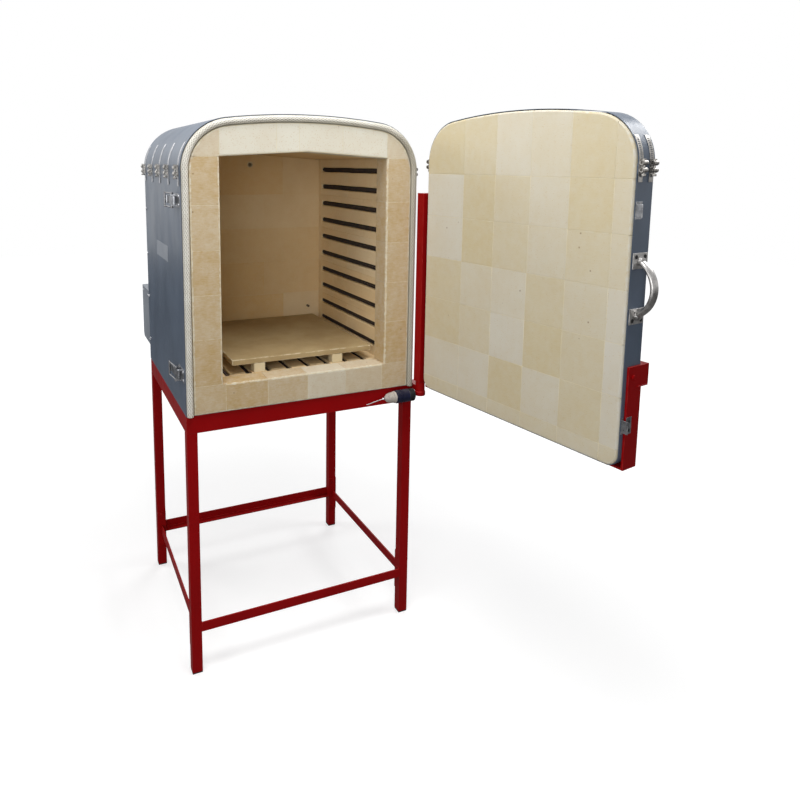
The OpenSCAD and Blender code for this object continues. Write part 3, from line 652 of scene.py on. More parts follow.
@dataclass(frozen=True)
class Moulded(Finish):
    """Moulded plastic or rubber."""

    body: Colour = tint(14, 17, 44)
    rubbed: Colour = tint(40, 44, 78)
    gloss: float = 0.26
    shine: float = 0.3
    dusty: Colour = tint(170, 168, 166)

    def dress(self, coat: Coat) -> None:
        """Add tone, rubbed edges, dust and a moulded grain.

        Args:
            coat: the material that is being made.
        """
        base = coat.lay("patches", self.body, Second=self.rubbed, Scale=50.0, Amount=0.25)
        base = coat.lay("edge_wear_and_highlight", base, Worn=self.rubbed, Scale=120.0, Amount=0.8)
        base = coat.lay("dust", base, Dust=self.dusty, Scale=60.0, Amount=0.12)
        rough = coat.gloss(self.gloss, 60.0, 0.15)
        coat.set(Base_Color=base, Roughness=rough, Specular_IOR_Level=self.shine)
        coat.bump(coat.grain(1200.0), 0.00012)


@dataclass(frozen=True)
class Wire(Finish):
    """Oxidised resistance wire."""

    scale: Colour = tint(52, 46, 42)
    rust: Colour = tint(84, 66, 52)

    def dress(self, coat: Coat) -> None:
        """Add oxide patches and a scaly grain.

        Args:
            coat: the material that is being made.
        """
        base = coat.lay("patches", self.scale, Second=self.rust, Scale=90.0, Amount=0.7)
        coat.set(Base_Color=base, Metallic=0.35, Roughness=0.62)
        coat.bump(coat.grain(1500.0), 0.0002)


FINISHES: tuple[Finish, ...] = (
    Enamel("red_enamel", "red_paint"),
    Enamel(
        "jacket_enamel", "jacket_paint",
        tint(92, 105, 123), tint(71, 82, 98), tint(132, 140, 152), tint(150, 152, 154),
        gloss=0.34, smear=0.1, peel=0.00006, dust=0.08, shine=0.45,
    ),
    Enamel(
        "box_enamel", "jacket_paint",
        tint(150, 157, 167), tint(134, 140, 149), tint(160, 164, 170), tint(160, 162, 164),
        gloss=0.36, smear=0.2, peel=0.00006, dust=0.12, shine=0.5,
    ),
    Enamel(
        "galvanised", "galvanised",
        tint(128, 134, 142), tint(108, 112, 120), tint(150, 152, 156), tint(150, 150, 150),
        gloss=0.42, smear=0.2, peel=0.00008, dust=0.2,
    ),
    Firebrick("firebrick", "firebrick"),
    Firebrick("door_brick", "firebrick", tint(210, 191, 138), tint(222, 218, 206), tint(204, 180, 128)),
    Firebrick(
        "chamber_brick_painted_light", "firebrick",
        tint(231, 197, 139), tint(237, 218, 182), tint(212, 174, 116), soot=0.25,
    ),
    # Painted light: the chamber's bricks are a paler, warmer copy of the firebrick, standing in for light
    # bouncing inside the chamber.
    Firebrick(
        "mortar", "firebrick",
        tint(230, 216, 180), tint(232, 222, 194), tint(214, 194, 150), soot=0.1,
    ),
    Steel("bright_steel", "bright_steel"),
    Steel("dull_steel", "bright_steel", tint(150, 150, 152), tint(96, 94, 92), 0.36),
    Steel("clamp_steel", "bright_steel", tint(178, 175, 170), tint(74, 71, 68), 0.2),
    Steel("strap_steel", "bright_steel", tint(196, 197, 200), tint(140, 140, 142), 0.3),
    Steel("latch_steel", "bright_steel", tint(164, 166, 170), tint(66, 68, 72), 0.18),
    Steel("handle_steel", "bright_steel", tint(188, 186, 184), tint(104, 102, 100), 0.2),
    Fibre("rope_fibre", "fibre", tint(243, 241, 233), tint(214, 208, 192), knit=True),
    Fibre("blanket_fibre", "fibre", tint(206, 200, 184), tint(166, 156, 134)),
    Ceramic("shelf_ceramic", "shelf_ceramic"),
    Ceramic("sheath_ceramic", "shelf_ceramic", tint(92, 72, 54), tint(64, 50, 38), tint(40, 32, 26)),
    Ceramic("prop_ceramic", "shelf_ceramic", tint(222, 208, 176), tint(202, 182, 140), tint(168, 138, 96)),
    Moulded("navy_plastic", "navy_plastic"),
    Moulded("black_plastic", "black_plastic", tint(26, 26, 27), tint(64, 64, 66), 0.5),
    Moulded("white_rubber", "white_rubber", tint(190, 182, 174), tint(150, 140, 132), 0.55),
    Wire("element_wire", "element_wire"),
)


class Finishes:
    """All finishes of the kiln as materials."""

    def __init__(self) -> None:
        """Make the shared effects and every material."""
        fx = Effects()
        self.kinds = {kind.name: kind for kind in FINISHES}
        self.made = {name: kind.make(fx) for name, kind in self.kinds.items()}

    def paint_node(self, finish: str, *nodes: str) -> None:
        """Give CAD nodes that stay in view a finish.

        Args:
            finish: the finish's name.
            nodes: the nodes.
        """
        for name in nodes:
            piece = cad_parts[name]
            if not piece.material_slots:
                piece.data.materials.append(self.made[finish])
            for place in piece.material_slots:
                place.material = self.made[finish]
            log.info("%s: %s on the solid", name, finish)


class Form:
    """A mesh that is being made, in metres in the frame."""

    BOX = ((0, 2, 3, 1), (4, 5, 7, 6), (0, 1, 5, 4), (2, 6, 7, 3), (0, 4, 6, 2), (1, 3, 7, 5))

    def __init__(self, source: str | None = None) -> None:
        """Start empty, or from a copy of a node's solid with its flat faces whole.

        Args:
            source: the node to copy.
        """
        self.bm = bmesh.new()
        if source:
            self.bm.from_mesh(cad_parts[source].data)
        marks = self.bm.loops.layers.float
        self.edge, self.tone = (marks.get(name) or marks.new(name) for name in ("edge", "tone"))
        if source:
            bmesh.ops.remove_doubles(self.bm, verts=self.bm.verts, dist=2e-5)
            flat = math.radians(0.25)
            bmesh.ops.dissolve_limit(self.bm, angle_limit=flat, verts=self.bm.verts, edges=self.bm.edges)

    def swing(self, matrix: Matrix) -> "Form":
        """Move everything made so far."""
        bmesh.ops.transform(self.bm, matrix=matrix, verts=self.bm.verts)
        return self

    def mesh(self, name: str) -> bpy.types.Mesh:
        """Turn the form into a mesh and let it go.

        Args:
            name: the mesh's name.

        Returns:
            The mesh.
        """
        made = bpy.data.meshes.new(name)
        self.bm.to_mesh(made)
        self.bm.free()
        return made

    def grid(self, rows: Sequence[Sequence[Vector]], loop: bool = False, caps: bool = False) -> None:
        """Skin rows of points.

        Args:
            rows: rows of the same number of points.
            loop: join each row's end to its start.
            caps: close the first and the last row with a face.
        """
        made = [[self.bm.verts.new(p) for p in row] for row in rows]
        width = len(made[0])
        for a, b in zip(made, made[1:]):
            for c in range(width if loop else width - 1):
                d = (c + 1) % width
                self.bm.faces.new((a[c], a[d], b[d], b[c]))
        if caps:
            self.bm.faces.new(made[0][::-1])
            self.bm.faces.new(made[-1])

    def lathe(self, axis: Matrix, profile: Sequence[Flat], sides: int = 24) -> None:
        """Turn a profile of (radius, height) in millimetres about an axis.

        Args:
            axis: place whose Z is the axis, in metres.
            profile: points from one end to the other.
            sides: points around.
        """
        rows = []
        for r, h in profile:
            ring = [(r * math.cos(a), r * math.sin(a)) for a in around(sides)]
            rows.append([axis @ Vector((x * MM, y * MM, h * MM)) for x, y in ring])
        self.grid(rows, loop=True, caps=True)

    def tube(self, points: Sequence[Vector], radius: float, sides: int) -> None:
        """Run a round bar along points.

        Args:
            points: the bar's middle line, in metres.
            radius: the bar's radius in millimetres.
            sides: points around.
        """
        rows, last = [], None
        for i, p in enumerate(points):
            way = (points[min(i + 1, len(points) - 1)] - points[max(i - 1, 0)]).normalized()
            side = way.orthogonal() if last is None else last - way * last.dot(way)
            last = side.normalized()
            rows.append(circle(p, last, way.cross(last), radius, sides))
        self.grid(rows, loop=True, caps=True)

    def cell(self, corners: Iterable[Vector]) -> None:
        """Add a six-sided cell.

        Args:
            corners: eight corners in metres, the last of three directions changing fastest.
        """
        made = [self.bm.verts.new(p) for p in corners]
        for face in self.BOX:
            self.bm.faces.new([made[i] for i in face])

    def block(self, low: Point, high: Point, place: Placer = at) -> None:
        """Add a box between two corners in millimetres."""
        xs, ys, zs = zip(low, high)
        self.cell(place(x, y, z) for z in zs for y in ys for x in xs)

    def prism(self, outline: Sequence[Flat], y0: float, y1: float) -> None:
        """Add an outline made thick along Y, in millimetres.

        Args:
            outline: points in X and Z.
            y0: depth of its front.
            y1: depth of its back.
        """
        front, rear = ([self.bm.verts.new(at(x, y, z)) for x, z in outline] for y in (y0, y1))
        self.bm.faces.new(front)
        self.bm.faces.new(rear[::-1])
        for i in range(len(outline)):
            j = (i + 1) % len(outline)
            self.bm.faces.new((front[j], front[i], rear[i], rear[j]))

    def soften(
        self, width: float, pick: Callable[[Edge], bool] | None = None, sharp: float = 30.0, steps: int = 2
    ) -> "Form":
        """Round sharp edges and mark what is rounded.

        Args:
            width: width of the rounding in millimetres.
            pick: chooses among the sharp edges.
            sharp: smallest angle of a sharp edge, in degrees.
            steps: faces across the rounding.

        Returns:
            The form itself.
        """
        bmesh.ops.recalc_face_normals(self.bm, faces=self.bm.faces)
        limit = math.radians(sharp)
        edges = [
            e for e in self.bm.edges
            if len(e.link_faces) == 2 and e.calc_face_angle(0.0) > limit and (pick is None or pick(e))
        ]
        if edges:
            done = bmesh.ops.bevel(
                self.bm, geom=edges, offset=width * MM, offset_type="OFFSET", segments=steps, profile=0.5,
                affect="EDGES", clamp_overlap=True,
            )
            for face in done["faces"]:
                for corner in face.loops:
                    corner[self.edge] = 1.0
        return self

    def weather(self, rim: Callable[[Edge], bool]) -> "Form":
        """Round bricks, more at the rim of the brickwork than at the joints."""
        return self.soften(5.0, rim, steps=4).soften(0.35, sharp=50.0, steps=1)

    def islands(self) -> list[list[bmesh.types.BMFace]]:
        """Split the mesh into its separate pieces.

        Returns:
            The faces of each piece.
        """
        left, out = set(self.bm.faces), []
        while left:
            stack, piece = [left.pop()], []
            while stack:
                face = stack.pop()
                piece.append(face)
                for other in (f for edge in face.edges for f in edge.link_faces):
                    if other in left:
                        left.remove(other)
                        stack.append(other)
            out.append(piece)
        return out

    def shade(self, choose: Callable[[Vector], float]) -> "Form":
        """Give each separate piece one tone, chosen by its middle.

        Args:
            choose: gives a tone of -1 to 1 for a middle in metres.

        Returns:
            The form itself.
        """

        def first(piece: list[bmesh.types.BMFace]) -> tuple[float, ...]:
            """Give the first of a piece's face middles, for a fixed order."""
            return tuple(round(c, 4) for c in min(tuple(f.calc_center_median()) for f in piece))

        for piece in sorted(self.islands(), key=first):
            points = [v.co for f in piece for v in f.verts]
            low, high = (Vector([end(p[k] for p in points) for k in range(3)]) for end in (min, max))
            tone = choose((low + high) / 2)
            for face in piece:
                for corner in face.loops:
                    corner[self.tone] = tone
        return self


def on_rim(edge: Edge, solid: Callable[[float, float], bool], beyond: float = 3.0) -> bool:
    """Tell whether an edge of a brick face lies on the rim of the brickwork.

    Args:
        edge: the edge.
        solid: tells whether bricks cover a place, given by X and height above the rails.
        beyond: distance from a side of the brick to the place that is tested.

    Returns:
        True where no brick follows beyond the edge.
    """
    for face in edge.link_faces:
        p = face.calc_center_median() + face.normal * beyond * MM
        if abs(face.normal.y) <= 0.7 and solid(p.x / MM, p.z / MM - RAIL):
            return False
    return True


class Builder:
    """Turns forms into pieces that ride on the frame."""

    def __init__(self, finishes: Finishes) -> None:
        """Keep the finishes and a fixed source of chance."""
        self.finishes = finishes
        self.chance = random.Random(SEED)

    def piece(
        self, name: str, form: Form, finish: str, body: str, replaces: Sequence[str] = (), smooth: float = 40
    ) -> None:
        """Make a form into a finished piece.

        Args:
            name: the piece's name.
            form: its mesh.
            finish: its finish.
            body: the body that it rides on.
            replaces: the CAD nodes that it stands for.
            smooth: largest angle that is shaded smooth, in degrees.
        """
        bmesh.ops.recalc_face_normals(form.bm, faces=form.bm.faces)
        mesh = form.mesh(name)
        mesh.shade_smooth()
        mesh.set_sharp_from_angle(angle=math.radians(smooth))
        mesh.materials.append(self.finishes.made[finish])
        made = add_object(name, mesh)
        made.modifiers.new("even_shading", "WEIGHTED_NORMAL").keep_sharp = True
        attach(made, body)
        if replaces:
            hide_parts(*replaces)
        log.info("%s: %d faces, %s, on %s", name, len(mesh.polygons), finish, body)

    def copy(self, node: str, finish: str, body: str, width: float, steps: int = 2) -> None:
        """Replace a node by its own shape with rounded edges.

        Args:
            node: the CAD node.
            finish: the finish.
            body: the body that it rides on.
            width: width of the rounding in millimetres.
            steps: faces across the rounding.
        """
        self.piece(node + "_shape", Form(node).soften(width, steps=steps), finish, body, [node])

    def slab(
        self, name: str, ends: tuple[Point, Point], finish: str, body: str, width: float, steps: int = 2,
        place: Placer = at,
    ) -> None:
        """Make a plate of its own between two corners.

        Args:
            name: the piece's name.
            ends: two opposite corners in millimetres.
            finish: the finish.
            body: the body that it rides on.
            width: width of the rounding in millimetres.
            steps: faces across the rounding.
            place: turns millimetres into a place.
        """
        form = Form()
        form.block(*ends, place)
        self.piece(name, form.soften(width, steps=steps), finish, body)

    def bead(self, form: Form, start: Vector, end: Vector, radius: float) -> None:
        """Add a rippled weld bead.

        Args:
            form: the mesh to add it to.
            start: one end, in metres.
            end: the other end.
            radius: mean radius in millimetres.
        """
        way = end - start
        count = max(4, round(way.length / (1.6 * MM)))
        side = way.normalized().orthogonal()
        up = way.normalized().cross(side)
        rows = []
        for i in range(count + 1):
            swell = 0.35
            if 0 < i < count:
                swell = 0.82 + 0.22 * (i % 2) + self.chance.uniform(-0.06, 0.06)
            rows.append(circle(start + way * (i / count), side, up, radius * swell, 6))
        form.grid(rows, loop=True, caps=True)


@dataclass(frozen=True)
class Screw:
    """Domed head of a screw or rivet, in millimetres."""

    radius: float
    high: float
    drive: Drive = Drive.CROSS
    rings: tuple[float, ...] = (0.0, 0.14, 0.2, 0.3, 0.44, 0.58, 0.64, 0.82, 0.95, 1.0, 1.0)
    skirt: float = -0.4

    def add(self, form: Form, place: Vector, way: Vector, turn: float = 0.0) -> None:
        """Add one head.

        Args:
            form: the mesh to add it to.
            place: middle of its seat, in metres.
            way: direction away from the seat.
            turn: turn of the recess in degrees.
        """
        axis = aim(place, way) @ Matrix.Rotation(math.radians(turn), 4, "Z")
        rows = []
        for n, share in enumerate(self.rings, 1):
            row = []
            for a in around(24):
                x, y = self.radius * share * math.cos(a), self.radius * share * math.sin(a)
                z = self.high * math.sqrt(max(0.0, 1 - (0.82 * share) ** 2))
                if self.drive is Drive.CROSS and share < 0.6 and min(abs(x), abs(y)) < 0.17 * self.radius:
                    z -= 0.5 * self.high
                z = self.skirt if n == len(self.rings) else z
                row.append(axis @ Vector((x * MM, y * MM, z * MM)))
            rows.append(row)
        form.grid(rows, loop=True)


@dataclass(frozen=True)
class Bolt:
    """Chamfered hexagon head on a washer, in millimetres."""

    radius: float
    high: float
    seat: float
    washer: tuple[Flat, ...]

    def add(self, form: Form, axis: Matrix, turn: float) -> None:
        """Add one head on its washer.

        Args:
            form: the mesh to add it to.
            axis: place whose Z points away from the seat.
            turn: turn of the head in degrees.
        """
        form.lathe(axis, self.washer)
        lift = Matrix.Translation((0.0, 0.0, self.seat * MM))
        head = axis @ lift @ Matrix.Rotation(math.radians(turn), 4, "Z")
        r, h = self.radius, self.high
        form.lathe(head, [(r, -0.2), (r, h * 0.82), (r * 0.86, h), (r * 0.2, h * 1.02)], 6)


@dataclass
class Stand:
    """Red welded stand with bolted stretchers."""

    build: Builder
    half: float = 335.0
    deep: float = 297.5
    tube: float = 28.0
    rail_low: float = -48.0
    stretcher: Flat = (122.0, 148.0)
    bead: float = 1.7
    corner_bead: float = 1.9
    thin_bead: float = 1.4
    bead_gap: float = 3.0
    bolt_mid: float = 135.0
    bolt_off: float = 51.0
    bolt_in: float = 14.0
    plate: float = 4.0
    bolt: Bolt = Bolt(7.0, 3.7, 1.6, ((4.3, 0.0), (8.4, 0.0), (8.4, 1.2), (7.9, 1.6), (4.3, 1.6)))
    shank: tuple[Flat, ...] = ((4.0, -11.5), (4.0, 1.0))
    corners: tuple[tuple[int, int], ...] = ((-1, -1), (-1, 1), (1, -1), (1, 1))

    def tubes(self) -> None:
        """Round the edges of the legs, rails, stretchers and foot plugs."""
        widths = {
            2.2: ("front_left_leg", "front_right_leg", "rear_left_leg", "rear_right_leg"),
            2.0: ("front_rail", "rear_rail", "left_rail", "right_rail"),
            0.9: ("front_stretcher", "rear_stretcher", "side_stretchers"),
        }
        for width, nodes in widths.items():
            for node in nodes:
                self.build.copy(node, "red_enamel", "kiln", width)
        self.build.copy("foot_plugs", "black_plastic", "kiln", 1.2)

    def welds(self) -> None:
        """Add the beads where legs, rails and stretchers meet."""
        form, bead, gap, low = Form(), self.build.bead, self.bead_gap, self.rail_low
        for sx, sy in self.corners:
            x1, y1 = sx * self.half, sy * self.deep
            x0, y0 = x1 - sx * self.tube, y1 - sy * self.tube
            bead(form, at(x1 - sx * gap, y0, low), at(x0 + sx, y0, low), self.bead)
            bead(form, at(x0, y1 - sy * gap, low), at(x0, y0 + sy, low), self.bead)
            bead(form, at(x0, y0, low + 2), at(x0, y0, -gap), self.corner_bead)
            for z in self.stretcher:
                start, end = (at(x0, y1 - sy * run, z - RAIL) for run in (gap, self.tube - gap))
                bead(form, start, end, self.thin_bead)
        self.build.piece("stand_welds", form, "red_enamel", "kiln")

    def bolts(self) -> None:
        """Make the stretcher bolts with their washers."""
        form = Form()
        for sx, sy in self.corners:
            x, y = sx * (self.half - self.bolt_in), sy * (self.deep - self.tube - self.plate)
            for off in (-self.bolt_off, self.bolt_off):
                axis = aim(at(x, y, self.bolt_mid + off - RAIL), REAR * -sy)
                self.bolt.add(form, axis, self.build.chance.uniform(0, 60))
                form.lathe(axis, self.shank, 16)
        self.build.piece("stretcher_bolts", form, "red_enamel", "kiln", ["stand_bolts"])

    def make(self) -> None:
        """Build the whole stand."""
        self.tubes()
        self.welds()
        self.bolts()


@dataclass
class Brickwork:
    """Firebrick frame, walls, floor and roof of the chamber."""

    build: Builder
    outline: Arch = KILN
    inset: float = 20.0
    front: float = -303.5
    frame_back: float = -239.5
    back_face: float = 238.5
    back: float = 302.2
    wall: float = 251.0
    outer: float = 315.0
    haunch: float = 299.0
    jamb: float = 238.0
    jamb_top: float = 628.0
    sill: float = 78.0
    crest: float = 671.0
    rise: float = 15.0
    joint: float = 0.8
    shy: float = 1.5
    groove: float = 8.2
    lip: float = 1.4
    brick: float = 230.0
    groove_end: float = 212.0
    wall_back: float = 285.2
    wall_top: float = 670.2
    chamfer: Flat = (302.0, 638.0)
    courses: int = 5
    course0: float = 201.6
    course: float = 115.6
    pale_lintel: tuple[int, ...] = (1, 2, 3, 4)
    lintel_joints: tuple[float, ...] = (-238.0, -87.0, -24.0, 102.0, 238.0)
    sill_tones: tuple[float, ...] = (-0.75, -0.9, -0.6, 0.1, -0.3, -0.7)
    sill_brick: float = 106.0

    def solid(self, x: float, z: float) -> bool:
        """Tell whether the brick front covers a place.

        Args:
            x: sideways place.
            z: height above the rails.

        Returns:
            True where there is brick.
        """
        roof = self.crest + self.rise * (1 - abs(x) / self.jamb)
        in_mouth = abs(x) < self.jamb and self.sill < z < roof
        return z > 2.0 and not in_mouth and self.outline.holds(x, z, self.inset)

    def rim_edge(self, edge: Edge) -> bool:
        """Tell whether an edge of the front lies on the outline or the mouth."""
        ahead = all(v.co.y < (self.front + 0.1) * MM for v in edge.verts)
        return ahead and on_rim(edge, self.solid)

    def front_tone(self, p: Vector) -> float:
        """Choose the tone of a brick of the frame by its place, with jamb bricks darker towards the bottom
        as painted shade.

        Args:
            p: middle of the brick, in metres.

        Returns:
            The tone, from -1 to 1.
        """
        x, z = p.x / MM, p.z / MM - RAIL
        # Painted shade: the jamb bricks darken towards the bottom, as if light fell from above.
        base = -0.95 + 0.35 * max(0.0, (z - self.course0) / self.crest)
        if z > self.crest:
            base = 0.95 if sum(x > j for j in self.lintel_joints) in self.pale_lintel else 0.0
        elif z < self.sill:
            place = int((x + self.outer) / self.sill_brick)
            base = self.sill_tones[min(len(self.sill_tones) - 1, place)]
        return base + self.build.chance.uniform(-0.15, 0.15)

    def mouth(self) -> None:
        """Round the frame's bricks, more at the outline and the mouth than at the joints."""
        for node in ("sill_bricks", "left_jamb_bricks", "right_jamb_bricks", "lintel_bricks"):
            form = Form(node).shade(self.front_tone).weather(self.rim_edge)
            self.build.piece(node + "_shape", form, "firebrick", "kiln", [node])

    def frame_mortar(self) -> None:
        """Fill the frame's joints just behind the brick face."""
        form, y0, y1 = Form(), self.front + 0.5, self.frame_back - 2
        edge, mouth, low = self.outer - self.shy, self.jamb + 2, self.crest - 20
        for s in (-1, 1):
            a, b = sorted((s * (self.jamb + self.shy), s * edge))
            form.block((a, y0, self.sill - 2), (b, y1, self.jamb_top))
        form.block((-edge, y0, 4.0), (edge, y1, self.sill - self.shy))
        half = [(mouth, self.crest + 2), (mouth, low), (self.haunch, low)]
        under = [(-x, z) for x, z in half[::-1]] + [(0.0, self.crest + self.rise + self.shy)] + half
        arch = self.outline.path(self.inset + self.shy, low, 12.0)
        over = [(x, z) for (x, z), _ in arch if z > self.crest - 5 and abs(x) < self.haunch]
        form.prism(under + over, y0, y1)
        self.build.piece("frame_mortar", form, "mortar", "kiln")

    def grooves(self, course: int) -> list[float]:
        """Heights of the two element grooves of a wall course."""
        return [self.course0 + self.course * (course - 0.75 + 0.5 * k) for k in (0, 1)]

    def first_cut(self, course: int) -> float:
        """Depth of the first upright joint of a wall course, laid half-lapped."""
        return self.frame_back + self.brick * (0.5 if course % 2 else 1.0)

    def chamber_mortar(self) -> None:
        """Fill the joints of the chamber's walls."""
        form, y0, y1, r = Form(), self.frame_back + 1.5, self.wall_back - 0.5, self.groove
        wide = self.wall - 0.5
        form.block((-wide, self.back_face, self.sill + 2), (wide, self.back - 0.5, self.crest - 35))
        for s in (-1, 1):
            a, b = sorted((s * (self.wall + 0.5), s * self.haunch))
            for k in range(self.courses - 1):
                z = self.course0 + self.course * k
                form.block((a, y0, z), (b, y1, z + self.joint))
            for c in range(self.courses):
                low = self.course0 + self.course * (c - 1) if c else self.sill
                one, two = self.grooves(c)
                bands = ((low + 1, one - r), (one + r, two - r), (two + r, low + self.course - 1))
                for cut in (self.first_cut(c), self.first_cut(c) + self.brick):
                    for z0, z1 in bands if cut < y1 else ():
                        form.block((a, cut, z0), (b, cut + self.joint, z1))
        self.build.piece("chamber_mortar", form, "chamber_brick_painted_light", "kiln")

    def slot_outline(self, side: Side, z0: float, z1: float, rows: Sequence[float]) -> list[Flat]:
        """Section of a wall course with its element grooves.

        Args:
            side: the wall.
            z0: underside of the course.
            z1: top of the course.
            rows: heights of the grooves.

        Returns:
            The outline in X and Z.
        """
        s, r, lip, deep = side.value, self.groove, self.lip, self.wall + self.groove + 2
        pts: list[Flat] = [(s * self.outer, z1), (s * self.outer, z0), (s * self.wall, z0)]
        for z in rows:
            pts += [(s * self.wall, z - r - lip), (s * (self.wall + lip), z - r)]
            turns = [math.pi * k / 8 for k in range(9)]
            pts += [(s * (deep + r * math.sin(a)), z - r * math.cos(a)) for a in turns]
            pts += [(s * (self.wall + lip), z + r), (s * self.wall, z + r + lip)]
        return pts + [(s * self.wall, z1)]

    def walls(self) -> None:
        """Lay the side walls in courses of half-lapped bricks with their grooves."""
        start, stop, top = self.frame_back + self.joint, self.groove_end, self.courses - 1
        for side, node in ((Side.LEFT, "left_wall_bricks"), (Side.RIGHT, "right_wall_bricks")):
            form, tones = Form(), {}
            for c in range(self.courses):
                z0 = self.joint + (self.course0 + self.course * (c - 1) if c else self.sill)
                z1 = self.wall_top if c == top else self.course0 + self.course * c
                shape = self.slot_outline(side, z0, z1, self.grooves(c))
                if c == top:
                    x, z = self.chamfer
                    shape[:1] = [(side.value * x, z1), (side.value * self.outer, z)]
                plain = [p for p in shape if abs(p[0]) >= self.outer - 20 or p[1] in (z0, z1)]
                cut = self.first_cut(c)
                seam = cut + self.brick
                ends = ((start, cut), (cut + self.joint, seam), (seam + self.joint, self.wall_back))
                for j, (low, high) in enumerate(ends):
                    # Painted light: the side walls' bricks take tones from the pale end, to lighten them.
                    tones[c, j] = self.build.chance.uniform(-0.4, 0.9)
                    for y0, y1, outline in ((low, min(high, stop), shape), (max(low, stop), high, plain)):
                        if y1 - y0 > self.joint:
                            form.prism(outline, y0, y1)

            def tone(p: Vector) -> float:
                """Choose the tone of a brick by its course and place.

                Args:
                    p: middle of the brick, in metres.

                Returns:
                    The tone, from -1 to 1.
                """
                c = min(top, max(0, int((p.z / MM - RAIL - self.course0) // self.course) + 1))
                along = p.y / MM - self.frame_back + (self.brick / 2 if c % 2 else 0.0)
                return tones[c, min(2, int(along // self.brick))]

            form.soften(0.6, sharp=60.0, steps=1).shade(tone)
            self.build.piece(node + "_shape", form, "chamber_brick_painted_light", "kiln", [node])

    def back_wall(self) -> None:
        """Round the joints of the back wall's bricks."""
        form = Form("back_wall_bricks").shade(lambda p: self.build.chance.uniform(-0.9, 0.6))
        form.soften(0.4, sharp=50.0, steps=1)
        self.build.piece("back_wall_shape", form, "chamber_brick_painted_light", "kiln", ["back_wall_bricks"])

    def make(self) -> None:
        """Build all the brickwork."""
        self.mouth()
        self.frame_mortar()
        self.chamber_mortar()
        self.walls()
        self.back_wall()
        self.build.copy("floor_bricks", "chamber_brick_painted_light", "kiln", 0.15, 1)
        self.build.finishes.paint_node("chamber_brick_painted_light", "roof_bricks")


@dataclass
class Elements:
    """Coiled heating wires in the wall and floor grooves."""

    build: Builder
    coil: float = 6.0
    wire: float = 1.4
    tail: float = 2.0
    pitch: float = 6.0
    front: float = -229.5
    rear: float = 293.7
    lead_front: float = 6.0
    lead_rear: float = 12.0
    settle: float = 0.3
    sag: float = 0.5
    sway: float = 0.021
    wall_x: float = 261.2
    wall_z: float = 114.9
    wall_step: float = 57.8
    wall_rows: int = 10
    floor_z: float = 68.8
    floor_step: float = 59.0
    floor_rows: int = 8

    def spiral(self, form: Form, x: float, z: float, phase: float) -> None:
        """Add one coil along the depth.

        Args:
            form: the mesh to add it to.
            x: sideways place of its axis.
            z: height of its axis.
            phase: turn at which it starts.
        """
        y0, y1, steps = self.front + self.lead_front, self.rear - self.lead_rear, 9
        rows = []
        for i in range(int((y1 - y0) / self.pitch * steps) + 1):
            a = phase + 2 * math.pi * i / steps
            out = Vector((math.cos(a), 0, math.sin(a)))
            sag = self.sag * math.sin(i * self.sway + phase)
            p = at(x, y0 + self.pitch * i / steps, z - self.settle + sag) + out * self.coil * MM
            rows.append(circle(p, out, REAR, self.wire, 5))
        form.grid(rows, loop=True, caps=True)

    def link(self, form: Form, a: Vector, b: Vector) -> None:
        """Join two coil ends by a bent tail.

        Args:
            form: the mesh to add it to.
            a: one end, in metres.
            b: the other end.
        """
        lead = REAR * MM * (self.lead_front if a.y < 0 else -self.lead_rear)
        corner = (b - a).normalized() * 5 * MM
        path = [a + lead, a + lead * 0.3, a + corner * 0.3, a + corner]
        path += [b - corner, b - corner * 0.3, b + lead * 0.3, b + lead]
        form.tube(path, self.tail, 7)

    def winding(self, name: str, node: str, axes: Sequence[Flat], phase: float) -> None:
        """Build the coils of one node and the tails that join them.

        Args:
            name: the piece's name.
            node: the CAD node that it stands for.
            axes: sideways place and height of each coil's axis.
            phase: turn from one coil's start to the next one's.
        """
        form = Form()
        for i, (x, z) in enumerate(axes):
            self.spiral(form, x, z, i * phase)
        for i, ends in enumerate(zip(axes, axes[1:])):
            y = self.rear if i % 2 else self.front
            self.link(form, *(at(x, y, z) for x, z in ends))
        self.build.piece(name, form, "element_wire", "kiln", [node], 60.0)

    def make(self) -> None:
        """Build the wall and floor windings."""
        heights = [self.wall_z + self.wall_step * i for i in range(self.wall_rows)]
        for side, node in ((Side.LEFT, "left_elements"), (Side.RIGHT, "right_elements")):
            self.winding(node + "_coils", node, [(side.value * self.wall_x, z) for z in heights], 1.3)
        middle = (self.floor_rows - 1) / 2
        across = [(self.floor_step * (i - middle), self.floor_z) for i in range(self.floor_rows)]
        self.winding("floor_coils", "floor_elements", across, 0.9)


